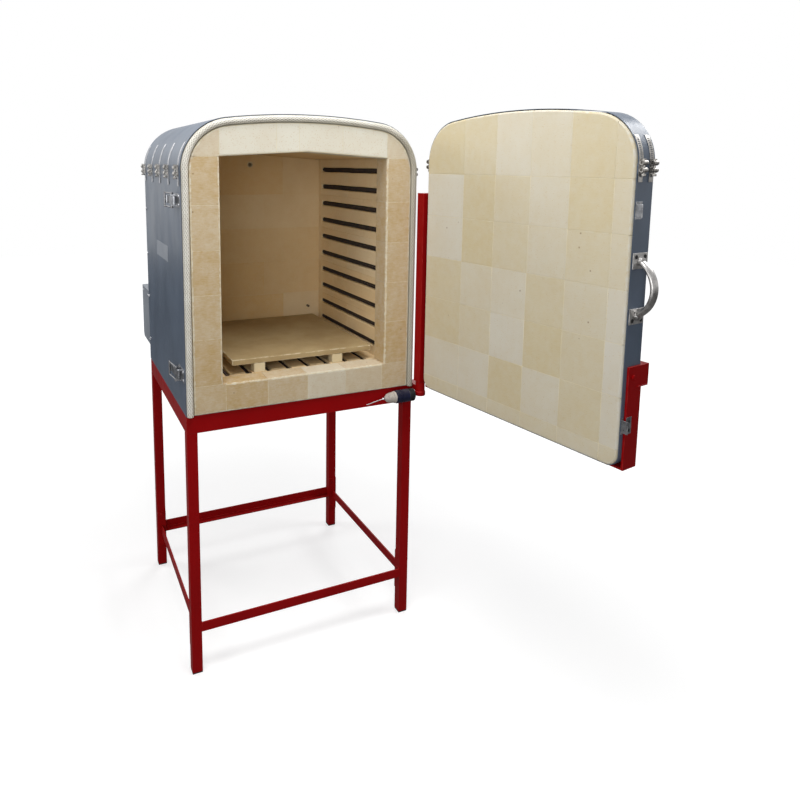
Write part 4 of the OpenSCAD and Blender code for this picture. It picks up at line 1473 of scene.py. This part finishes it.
@dataclass
class Jacket:
    """Sheet-metal jacket with its fibre lining, rope gasket, straps and clamps."""

    build: Builder
    outline: Arch = KILN
    rope_in: float = 10.0
    rope_y: float = -302.0
    rope: float = 8.6
    # Painted shade: how far the rope's colour darkens at its right side, and over what span.
    right_side_shade: float = 0.55
    right_shade_span: Flat = (230.0, 70.0)
    strands: int = 8
    twist: float = 0.3
    lining: float = 18.2
    lining_back: float = 301.8
    straps: tuple[float, ...] = (-276.0, -138.0, 0.0, 138.0, 276.0)
    strap_half: float = 7.0
    strap_thick: float = 0.8
    strap_rib: float = 3.4
    strap_out: float = 2.4
    strap_low: float = 596.0
    strap_turn: float = 32.0
    clamp_z: float = 634.0
    clamp_out: float = 337.6
    screw: Screw = Screw(5.2, 2.6)
    screw_y: float = 288.0
    screw_rows: tuple[float, ...] = (71.0, 216.0, 360.0, 505.0)
    panel_screw: Screw = Screw(4.2, 2.0)
    panel_y: float = 303.6
    plate: tuple[Point, Point] = ((-335.7, -94.0, 380.0), (-335.05, 92.0, 424.0))

    def gasket(self) -> None:
        """Braid the rope gasket round the mouth, with painted shade in the braid's gaps and on the rope's
        right side.
        """
        form, rows, lit_shares = Form(), [], []
        run, last = 0.0, None
        for (x, z), (nx, nz) in self.outline.path(self.rope_in, 0.4, 1.5):
            run += 0.0 if last is None else math.dist(last, (x, z))
            last, row = (x, z), []
            # Painted shade: the share of light falls off towards the rope's right side.
            unshaded_share = 1.0 - self.right_side_shade * min(1.0, max(0.0, (x - self.right_shade_span[0]) / self.right_shade_span[1]))
            for a in around(36):
                turn, along = self.strands * a / 2, run * self.twist
                one, two = abs(math.sin(turn + along)), abs(math.sin(turn - along))
                over = (one > two) == (math.sin(2 * along) > 0)
                lift = max(one, two) ** 1.5 if over else (one * two) ** 0.5
                # Each corner keeps the braid's height times that share, which the finish turns into painted
                # shade.
                lit_shares.append(lift * unshaded_share)
                r = self.rope * (0.87 + 0.13 * lift)
                off = r * math.cos(a)
                row.append(at(x + nx * off, self.rope_y - r * math.sin(a), z + nz * off))
            rows.append(row)
        form.grid(rows, loop=True, caps=True)
        form.bm.verts.index_update()
        for face in form.bm.faces:
            for corner in face.loops:
                corner[form.tone] = lit_shares[corner.vert.index]
        self.build.piece("braided_gasket", form, "rope_fibre", "kiln", ["rope_gasket"], 180.0)

    def blanket(self) -> None:
        """Line the jacket with fibre that is ragged at its front edge."""
        form, rows, deep = Form(), [], self.lining
        for (x, z), (nx, nz) in self.outline.path(1.6, 2.4, 9.0):
            ragged = self.build.chance.uniform(-0.9, 0.6)
            edge = [(0.0, -295.4), (6.0, -296.0 + ragged), (12.0, -295.6 - ragged), (deep, -295.2)]
            edge += [(deep, self.lining_back), (0.0, self.lining_back)]
            rows.append([at(x - nx * d, y, z - nz * d) for d, y in edge])
        form.grid(rows, loop=True, caps=True)
        self.build.piece("fibre_lining", form, "blanket_fibre", "kiln", ["fibre_blanket"])

    def strap(self, form: Form, side: Side, y: float, arch: Arch, low: float, place: Placer = at) -> None:
        """Add one slotted strap that lies on a shoulder.

        Args:
            form: the mesh to add it to.
            side: the side that it lies on.
            y: depth of its middle.
            arch: the arch that it follows.
            low: height of its lower end.
            place: turns millimetres into a place.
        """
        turn, whole = math.radians(self.strap_turn) + 1e-6, arch.path(-self.strap_out, low, 2.0)
        path = [(p, n) for p, n in whole if p[0] > 0 and math.atan2(n[1], n[0]) <= turn]
        s, w, rib = side.value, self.strap_half, self.strap_rib
        for i, ends in enumerate(zip(path, path[1:])):
            slotted = i % 2 == 1 and 3 < i < len(path) - 4
            for band in [(-w, -w + rib), (w - rib, w)] if slotted else [(-w, w)]:
                form.cell(
                    place(s * (p[0] + n[0] * d), y + v, p[1] + n[1] * d)
                    for p, n in ends for d in (0.0, -self.strap_thick) for v in band
                )

    def clamp(self, form: Form, side: Side, out: float, y: float, z: float, place: Placer = at) -> None:
        """Add one worm clamp with its screw.

        Args:
            form: the mesh to add it to.
            side: the side that it stands on.
            out: sideways place of its seat.
            y: depth of its middle.
            z: height of its middle.
            place: turns millimetres into a place.
        """
        s, mid = side.value, out + 6.2
        form.block((s * out, y - 8.6, z - 14.5), (s * (out + 1.1), y + 8.6, z + 14.5), place)
        across = (place(s * mid, y + 1, z) - place(s * mid, y - 1, z)).normalized()
        barrel = [(0.6, -3.0), (2.7, -3.0), (2.9, -8.4), (5.0, -8.6), (5.3, -8.2), (5.3, -5.8), (5.9, -5.6)]
        barrel += [(r, -h) for r, h in reversed(barrel)]
        for up in (-7.3, 7.3):
            form.lathe(aim(place(s * mid, y, z + up), across), barrel, 18)
        base = place(s * mid, y, z - 20.0)
        axis = aim(base, (place(s * mid, y, z + 15.0) - base).normalized())
        bolt = [(2.5, 5.0), (2.5, 26.0)]
        for k in range(6):
            bolt += [(2.8, 26.4 + 1.4 * k), (2.2, 27.1 + 1.4 * k)]
        form.lathe(axis, bolt, 12)
        form.lathe(axis, [(4.6, 0.0), (5.2, 0.7), (5.2, 4.2), (4.6, 4.9), (2.6, 5.0)], 6)
        form.lathe(axis, [(2.6, 33.0), (4.4, 33.2), (4.4, 35.0), (3.8, 35.4), (2.0, 35.4)], 6)

    def fixings(self) -> None:
        """Fasten the casings and the back panel with small screws, and add the bare plate."""
        form, half = Form(), self.outline.half
        for s in (-1, 1):
            for z in self.screw_rows:
                self.screw.add(form, at(s * half, self.screw_y, z), LEFT * -s, z)
        for (x, z), _ in self.outline.path(16.0, 30.0, 106.0):
            self.panel_screw.add(form, at(x, self.panel_y, z), REAR, x)
        self.build.piece("jacket_screws", form, "bright_steel", "kiln")
        self.build.slab("blank_plate", self.plate, "box_enamel", "kiln", 0.25, 1)

    def make(self) -> None:
        """Build the jacket's pieces."""
        self.build.finishes.paint_node("jacket_enamel", "left_casing", "right_casing", "hood", "back_panel")
        self.build.finishes.paint_node("galvanised", "base_pan")
        self.gasket()
        self.blanket()
        straps, clamps = Form(), Form()
        for side in Side:
            for y in self.straps:
                self.strap(straps, side, y, self.outline, self.strap_low)
                self.clamp(clamps, side, self.clamp_out, y, self.clamp_z)
        self.build.piece("slotted_straps", straps, "strap_steel", "kiln", ["hood_straps"])
        self.build.piece("worm_clamps", clamps, "clamp_steel", "kiln", ["strap_clamps"])
        self.fixings()


@dataclass
class Services:
    """Terminal box, gland, vent and thermocouple at the back."""

    build: Builder
    left: float = -334.0
    right: float = -34.0
    seat: float = 303.8
    low: float = 44.0
    high: float = 228.0
    sheet: float = 1.5
    flange: float = 16.0
    short: float = 6.0
    flange_screw: Screw = Screw(4.5, 2.2)
    screw_in: float = 9.0
    screw_ends: Flat = (40.0, 30.0)
    lid_screw: Screw = Screw(4.0, 2.0)
    lid_y: Flat = (16.0, 130.0)
    lid_low: float = 16.0

    def make(self) -> None:
        """Dress the back of the kiln."""
        self.build.copy("terminal_box", "box_enamel", "kiln", 1.6)
        self.build.copy("cable_gland", "black_plastic", "kiln", 0.8)
        self.build.copy("thermocouple", "sheath_ceramic", "kiln", 1.0)
        self.build.copy("vent_tube", "prop_ceramic", "kiln", 0.8)
        left, right, low, high, seat = self.left, self.right, self.low, self.high, self.seat
        face, wide, short = seat + self.sheet, self.flange, self.short
        form = Form()
        form.block((right, seat, low + short), (right + wide, face, high - short))
        form.block((left + short, seat, high), (right - short, face, high + wide))
        self.build.piece("box_flanges", form.soften(0.4), "box_enamel", "kiln")
        form, (along, up) = Form(), self.screw_ends
        for z in (low + up, high - up):
            self.flange_screw.add(form, at(right + self.screw_in, face, z), REAR, z)
        for x in (left + along, (left + right) / 2, right - along):
            self.flange_screw.add(form, at(x, face, high + self.screw_in), REAR, x)
        for y in (seat + deep for deep in self.lid_y):
            for x, way in ((right, -LEFT), (left, LEFT)):
                self.lid_screw.add(form, at(x, y, high - self.lid_low), way, y)
        self.build.piece("box_screws", form, "bright_steel", "kiln")


@dataclass
class Furniture:
    """Shelf and props in the chamber."""

    build: Builder

    def make(self) -> None:
        """Round the shelf and its props."""
        self.build.copy("kiln_shelf", "shelf_ceramic", "kiln", 2.4, 3)
        self.build.copy("shelf_props", "prop_ceramic", "kiln", 1.6)


@dataclass
class Latches:
    """Two toggle latches on the left of the jacket."""

    build: Builder
    pivot_x: float = -345.0
    pivot_y: float = -262.0
    pin_half: float = 13.5
    seat_x: float = -337.0
    screw_y: Flat = (-19.0, 36.0)
    screw_z: float = 11.0
    heights: Flat = (560.0, 105.0)
    screw: Screw = Screw(3.4, 1.7)
    rivet: Screw = Screw(4.0, 1.4, Drive.PLAIN)

    def make(self) -> None:
        """Dress the bases, levers and bails and add their rivets."""
        self.build.copy("latch_bases", "latch_steel", "kiln", 0.5)
        for name in ("upper", "lower"):
            self.build.copy(name + "_latch_lever", "latch_steel", name + "_lever", 0.7)
            self.build.copy(name + "_latch_bail", "dull_steel", name + "_bail", 0.3)
        form = Form()
        for z in self.heights:
            for y in (self.pivot_y + off for off in self.screw_y):
                for up in (-self.screw_z, self.screw_z):
                    self.screw.add(form, at(self.seat_x, y, z + up), LEFT, y + up)
            for up in (-1, 1):
                end = at(self.pivot_x, self.pivot_y, z + up * self.pin_half)
                self.rivet.add(form, end, Vector((0, 0, up)))
        self.build.piece("latch_rivets", form, "bright_steel", "kiln")


@dataclass
class DoorSwitch:
    """Safety switch on the front rail, with its boot and whisker."""

    build: Builder
    x: Flat = (268.0, 329.0)
    y: float = -319.0
    z: float = -22.0
    rail_y: float = -297.5
    foot_in: Flat = (14.0, 16.0)
    foot_half: float = 11.4
    radius: float = 19.0
    whisker_x: float = 230.0
    droop: float = 11.0
    whisker: tuple[Flat, ...] = (
        (1.2, 0.0), (2.8, 1.0), (3.4, 3.2), (3.0, 5.0), (1.6, 7.0), (1.2, 9.0), (1.2, 58.0), (0.7, 59.2),
    )

    def body(self) -> None:
        """Build the ribbed collar and the housing with its foot."""
        r, long = self.radius, self.x[1] - self.x[0]
        axis = aim(at(self.x[1], self.y, self.z), LEFT)
        form = Form()
        profile = [(r * 0.55, -3.0), (r * 0.6, -2.4), (r * 0.6, 0.0), (r - 2.0, 0.2), (r - 0.4, 1.8)]
        for start in (3.2 * k for k in range(4)):
            profile += [(r - 0.4, 4.0 + start), (r - 1.6, 4.6 + start)]
            profile += [(r - 1.6, 6.0 + start), (r - 0.4, 6.6 + start)]
        form.lathe(axis, profile + [(r - 1.2, 18.2), (r - 6.0, 18.6)], 40)
        self.build.piece("switch_collar", form, "black_plastic", "kiln", (), 35.0)
        form = Form()
        profile = [(r - 6.0, 18.4), (r - 1.0, 18.4), (r, 19.4), (r, 44.0), (r - 1.0, 44.6), (r - 1.0, 47.0)]
        profile += [(r, 47.6), (r, long - 1.6), (r - 1.6, long), (r - 5, long)]
        form.lathe(axis, profile, 40)
        x0, x1, up = self.x[0] + self.foot_in[0], self.x[1] - self.foot_in[1], self.foot_half
        form.block((x0, self.y, self.z - up), (x1, self.rail_y, self.z + up))
        self.build.piece("switch_housing", form, "navy_plastic", "kiln", ["switch_body"], 35.0)

    def boot(self) -> None:
        """Build the bellows that the whisker stands in."""
        form, r = Form(), self.radius
        boot = [(5.0, 0.0), (r - 2.0, 0.2), (r - 1.8, 2.0), (r - 1.8, 4.6), (r - 3.0, 5.6)]
        for k in range(5):
            start, size = 6.2 + 4.6 * k, r - 3.2 - 0.25 * k * k
            boot += [(size - 2.0, start), (size, start + 1.4)]
            boot += [(size, start + 2.6), (size - 2.0, start + 4.0)]
        boot += [(7.6, 30.6), (5.4, 33.0), (2.4, 34.0)]
        form.lathe(aim(at(self.x[0] - 0.2, self.y, self.z), LEFT), boot, 36)
        self.build.piece("switch_bellows", form, "white_rubber", "kiln", ["switch_boot"], 60.0)

    def rod(self) -> None:
        """Build the drooping whisker."""
        form, tip = Form(), math.radians(self.droop)
        way = Vector((-math.cos(tip), 0, -math.sin(tip)))
        root = at(self.whisker_x, self.y, self.z)
        form.lathe(aim(root - way * 3.2 * MM, way), self.whisker, 16)
        self.build.piece("whisker_rod", form, "bright_steel", "whisker", ["switch_whisker"])

    def make(self) -> None:
        """Build the whole switch."""
        self.body()
        self.boot()
        self.rod()


@dataclass
class Hinge:
    """Bracket and spindle on the stand, and the post that turns on it."""

    build: Builder
    weld_x: float = 335.5
    weld_y: Flat = (-297.0, -270.0)
    weld_z: Flat = (-11.0, 6.0)
    bead: float = 1.8

    def make(self) -> None:
        """Round the bracket and the post, and weld the bracket on."""
        self.build.copy("hinge_bracket", "red_enamel", "kiln", 1.4)
        self.build.copy("hinge_spindle", "red_enamel", "kiln", 2.0)
        self.build.copy("hinge_post", "red_enamel", "door", 2.4)
        form = Form()
        for z in self.weld_z:
            self.build.bead(form, *(at(self.weld_x, y, z) for y in self.weld_y), self.bead)
        self.build.piece("bracket_welds", form, "red_enamel", "kiln")


@dataclass
class Door:
    """Brick door in its rim, on the carrier beam and cradle, measured on the shut door."""

    build: Builder
    outline: Arch = DOOR
    face: float = -313.5
    thick: float = 60.0
    inset: float = 1.8
    low: float = 8.2
    corner: float = 30.0
    mortar_in: float = 4.5
    columns: tuple[float, ...] = (-280.0, -165.5, -51.0, 63.5, 178.0)
    rows: tuple[float, ...] = (51.5, 167.3, 283.0, 398.8, 514.5, 630.3)
    pale: tuple[str, ...] = ("36", "26", "55", "54", "33", "03", "32", "02", "51", "41", "01", "21", "25")
    warm: tuple[str, ...] = ("56", "46", "16", "45", "15", "44", "14", "53", "23", "52", "22", "31", "11")
    plates: Flat = (326.0, 444.0)
    plate_x: Flat = (-330.8, -327.8)
    plate_half: float = 25.0
    plate_high: float = 34.0
    handle_t: float = 32.0
    bow: float = 64.8
    bow_turn: float = 63.0
    bow_middle: Flat = (-301.6, 402.0)
    grip: Flat = (11.5, 5.8)
    straps: Flat = (14.0, 50.0)
    strap_low: float = 624.0
    clamp_out: float = 329.6
    clamp_z: float = 656.0
    strikes: tuple[Point, ...] = ((-329.6, 17.0, 566.0), (-334.6, 24.0, 105.0))
    strike_foot: tuple[Point, Point] = ((-334.6, 33.0, 86.0), (-333.1, 15.2, 124.0))
    strike_screw: Screw = Screw(3.6, 1.5)
    handle_screw: Screw = Screw(4.4, 1.4)
    handle_screws: Flat = (334.5, 469.5)
    screw_off: Flat = (10.0, 15.0)
    back_rivet: Screw = Screw(4.0, 1.8, Drive.PLAIN)
    back_t: float = 61.6
    cheek: tuple[Point, Point] = ((-333.2, 61.6, 3.4), (-327.9, 14.8, 234.2))
    beads: tuple[tuple[float, ...], ...] = (
        (336.5, 23.4, 62.0, 188.0, 1.6), (336.5, 23.4, 62.0, 234.0, 1.6), (-333.4, 46.5, 84.0, 187.5, 1.4),
    )
    bolt_place: Point = (-333.0, 30.0, 211.0)
    cradle_bolt: Bolt = Bolt(5.4, 3.4, 1.1, ((3.0, 0.0), (6.2, 0.0), (6.2, 1.0), (3.0, 1.2)))

    def place(self, x: float, t: float, z: float) -> Vector:
        """Place on the open door of a point at a depth behind the shut door's brick face."""
        return OPEN @ at(x, self.face - t, z)

    def opened(self, x: float, y: float, z: float) -> Vector:
        """Place on the open door of a point given on the shut door."""
        return OPEN @ at(x, y, z)

    def solid(self, x: float, z: float) -> bool:
        """Tell whether the door's bricks cover a place on the shut door.

        Args:
            x: sideways place.
            z: height above the rails.

        Returns:
            True where there is brick.
        """
        edge, base = self.outline.half - self.inset, self.low + self.inset
        dx, dz = abs(x) - (self.outline.half - self.corner), self.low + self.corner - z
        if dx > 0 and dz > 0:
            return math.hypot(dx, dz) < self.corner - self.inset
        return abs(x) < edge and z > base and self.outline.holds(x, z, self.inset)

    def rim_edge(self, edge: Edge) -> bool:
        """Tell whether an edge lies on the outline of the brick face."""
        ahead = all(v.co.y > (self.face - 0.1) * MM for v in edge.verts)
        return ahead and on_rim(edge, self.solid)

    def batch(self, p: Vector) -> float:
        """Choose the tone of a brick by its column and row.

        Args:
            p: middle of the brick, in metres.

        Returns:
            The tone, from -1 to 1.
        """
        x, z = p.x / MM, p.z / MM - RAIL
        column = sum(x > c for c in self.columns)
        cell = f"{column}{sum(z > r for r in self.rows)}"
        kind = Batch.PALE if cell in self.pale else Batch.WARM if cell in self.warm else Batch.MID
        lift = 0.2 if column == 0 and kind is Batch.PALE else 0.0
        return kind.value + self.build.chance.uniform(-0.2, 0.2) + lift

    def bricks(self) -> None:
        """Round the door's bricks and fill their joints."""
        form = Form("door_bricks").swing(SHUT).shade(self.batch).weather(self.rim_edge).swing(OPEN)
        self.build.piece("door_brick_face", form, "door_brick", "door", ["door_bricks"])
        form, inset = Form(), self.inset + self.mortar_in
        half, foot, base = self.outline.half - inset, self.low + 34, self.low + 7
        shape = [(-half, foot), (30 - half, base), (half - 30, base), (half, foot)]
        shape += [p for p, _ in self.outline.path(inset, 100.0, 14.0)]
        form.prism(shape, self.face - 0.5, self.face - self.thick + 2)
        self.build.piece("door_mortar", form.swing(OPEN), "mortar", "door")

    def handle(self) -> None:
        """Build the bow handle with its two plates and bosses."""
        form, mid, half, high = Form(), self.handle_t, self.plate_half, self.plate_high
        x0, x1 = self.plate_x
        for z in self.plates:
            form.block((x0, mid + half, z), (x1, mid - half, z + high), self.place)
        form.soften(1.0)
        for z in self.plates:
            boss = aim(self.place(x0 + 0.2, mid, z + high / 2), DOOR_OUT)
            form.lathe(boss, [(9.4, -0.2), (9.4, 2.0), (8.4, 4.2), (7.6, 7.0), (5.0, 8.4)], 24)
        rows, (cx, cz), (wide, thick) = [], self.bow_middle, self.grip
        for share in (i / 20 - 1 for i in range(41)):
            a = math.radians(self.bow_turn) * share
            flat, ring = wide - 4.0 * abs(share) ** 4, []
            for b in around(20):
                reach = self.bow + thick * math.cos(b)
                t = mid + flat * math.copysign(abs(math.sin(b)) ** 0.8, math.sin(b))
                ring.append(self.place(cx - reach * math.cos(a), t, cz + reach * math.sin(a)))
            rows.append(ring)
        form.grid(rows, loop=True, caps=True)
        self.build.piece("bow_handle", form, "handle_steel", "door", ["door_handle"])

    def fittings(self) -> None:
        """Add the straps, clamps, handle, strikes, their screws and the back's rivets."""
        jacket, form = Jacket(self.build), Form()
        for side in Side:
            for y in (self.face - t for t in self.straps):
                jacket.strap(form, side, y, self.outline, self.strap_low, self.opened)
                jacket.clamp(form, side, self.clamp_out, y, self.clamp_z, self.opened)
        self.build.piece("door_worm_clamps", form, "clamp_steel", "door", ["door_clamps"])
        self.handle()
        self.build.copy("strike_plates", "latch_steel", "door", 0.4)
        foot = self.strike_foot
        self.build.slab("lower_strike_foot", foot, "latch_steel", "door", 0.5, place=self.place)
        form, (high, deep) = Form(), self.screw_off
        for x, t, z in self.strikes:
            for up in (-high, high):
                self.strike_screw.add(form, self.place(x, t, z + up), DOOR_OUT, up)
        for z in self.handle_screws:
            for t in (self.handle_t - deep, self.handle_t + deep):
                self.handle_screw.add(form, self.place(self.plate_x[0] + 0.1, t, z), DOOR_OUT, z + t)
        self.build.piece("strike_screws", form, "black_plastic", "door")
        form = Form()
        for (x, z), _ in self.outline.path(16.0, 40.0, 104.0):
            self.back_rivet.add(form, self.place(x, self.back_t, z), DOOR_BACK)
        self.build.piece("door_screws", form, "bright_steel", "door")

    def carrier(self) -> None:
        """Round the carrier beam and the cradle, and add their cheek, bolt and welds."""
        self.build.copy("carrier_beam", "red_enamel", "door", 2.0)
        self.build.copy("door_cradle", "red_enamel", "door", 0.9)
        form = Form()
        for x, t0, t1, z, radius in self.beads:
            self.build.bead(form, self.place(x, t0, z), self.place(x, t1, z), radius)
        self.build.piece("carrier_welds", form, "red_enamel", "door")
        self.build.slab("cradle_cheek", self.cheek, "red_enamel", "door", 0.9, place=self.place)
        form = Form()
        self.cradle_bolt.add(form, aim(self.place(*self.bolt_place), DOOR_OUT), 14.0)
        self.build.piece("cradle_bolt", form, "red_enamel", "door")

    def make(self) -> None:
        """Build the whole door."""
        self.build.finishes.paint_node("jacket_enamel", "door_rim", "door_hood", "door_back_panel")
        self.bricks()
        self.fittings()
        self.carrier()


@dataclass(frozen=True)
class Lamp:
    """A round soft lamp, in metres and watts."""

    name: str
    place: Point
    target: Point
    size: float
    power: float


@dataclass
class Studio:
    """Floor, lights and camera."""

    eye: Point = (-660.06, -2015.35, 1392.13)
    yaw: float = 24.99
    pitch: float = 7.98
    roll: float = 0.56
    focal: float = 681.71
    centre: Flat = (353.98, 260.0)
    pixels: float = 800.0
    sensor: float = 36.0
    lamps: tuple[Lamp, ...] = (
        Lamp("key", (-0.15, -0.85, 2.8), (0.0, -0.3, 1.2), 1.2, 31.0),
        Lamp("fill", (-1.5, -3.0, 1.5), (0.1, -0.2, 1.1), 2.0, 30.0),
        Lamp("side", (-2.8, -1.4, 1.8), (0.3, -0.5, 1.2), 1.6, 13.0),
        Lamp("left", (-1.7, 1.5, 2.3), (-0.33, 0.2, 1.3), 1.0, 21.0),
        Lamp("right", (2.6, -0.7, 2.6), (0.4, -0.6, 1.2), 1.1, 26.0),
        Lamp("rear", (1.9, 2.6, 2.6), (0.1, 0.2, 1.0), 2.0, 38.0),
    )

    def camera(self) -> None:
        """Set up the camera at the photograph's viewing angle."""
        data = bpy.data.cameras.new("view")
        data.sensor_width = self.sensor
        data.lens = self.focal / self.pixels * self.sensor
        data.shift_x = (self.pixels / 2 - self.centre[0]) / self.pixels
        data.shift_y = (self.centre[1] - self.pixels / 2) / self.pixels
        data.clip_end = 100.0
        y, p, r = (math.radians(v) for v in (self.yaw, self.pitch, self.roll))
        ahead = Vector((math.sin(y) * math.cos(p), math.cos(y) * math.cos(p), -math.sin(p)))
        right = Vector((math.cos(y), -math.sin(y), 0.0))
        up = right.cross(ahead)
        across, over = right * math.cos(r) + up * math.sin(r), up * math.cos(r) - right * math.sin(r)
        made = add_object("view", data)
        turn = Matrix((across, over, -ahead)).transposed().to_4x4()
        made.matrix_world = Matrix.Translation(Vector(self.eye) * MM) @ turn
        bpy.context.scene.camera = made

    def lights(self) -> None:
        """Set up soft lamps round the kiln."""
        for lamp in self.lamps:
            data = bpy.data.lights.new(lamp.name, "AREA")
            data.shape, data.size, data.energy = "DISK", lamp.size, lamp.power
            place = Vector(lamp.place)
            add_object(lamp.name, data).matrix_world = aim(place, place - Vector(lamp.target))

    def world(self) -> None:
        """Light the room evenly and show it white."""
        world = bpy.data.worlds.new("room")
        bpy.context.scene.world = world
        world.use_nodes = True
        graph = Graph(world.node_tree)
        path = graph.node("LightPath").outputs
        shine = graph.sum("MULTIPLY", path["Is Glossy Ray"], 0.7)
        seen = graph.sum("ADD", graph.sum("MULTIPLY", path["Is Camera Ray"], 0.86), 0.14)
        strength = graph.sum("ADD", seen, shine)
        back = world.node_tree.nodes["Background"]
        graph.fill(back, ("Color", "Strength"), ((1.0, 1.0, 1.0, 1.0), strength))

    def floor(self) -> None:
        """Lay a pale floor that keeps the shadow."""
        form = Form()
        form.grid([[Vector((x, y, 0.0)) for x in (-9.0, 9.0)] for y in (-9.0, 9.0)])
        mesh = form.mesh("floor")
        paint = bpy.data.materials.new("pale_floor")
        paint.use_nodes = True
        mesh.materials.append(paint)
        graph, nodes = Graph(paint.node_tree), paint.node_tree.nodes
        shader = nodes["Principled BSDF"]
        graph.fill(shader, ("Roughness", "Base Color"), (0.9, (0.55, 0.55, 0.55, 1.0)))
        far = graph.node("VectorMath", operation="LENGTH")
        graph.put(far.inputs[0], graph.place())
        kinds = ("Emission", "AddShader", "BsdfDiffuse", "MixShader")
        glow, both, dim, mixed = (graph.node(kind) for kind in kinds)
        graph.put(glow.inputs["Strength"], graph.ramp(far.outputs["Value"], 0.8, 4.0, 0.56, 0.95))
        graph.fill(both, (0, 1), (shader.outputs[0], glow.outputs[0]))
        graph.put(dim.inputs["Color"], (0.26, 0.26, 0.26, 1.0))
        seen = graph.node("LightPath").outputs["Is Camera Ray"]
        graph.fill(mixed, (0, 1, 2), (seen, dim.outputs[0], both.outputs[0]))
        graph.put(nodes["Material Output"].inputs["Surface"], mixed.outputs[0])
        add_object("floor", mesh)

    def make(self) -> None:
        """Build the studio."""
        self.camera()
        self.lights()
        self.world()
        self.floor()
        bpy.context.scene.view_settings.view_transform = "Standard"


def main() -> None:
    """Build every sub-assembly in order."""
    logging.basicConfig(level=logging.INFO, format="%(name)s: %(message)s")
    Studio().make()
    build = Builder(Finishes())
    for part in (Stand, Brickwork, Elements, Jacket, Services, Furniture, Latches, DoorSwitch, Hinge, Door):
        part(build).make()
        log.info("%s done", part.__name__)


if __name__ == "__main__":
    main()
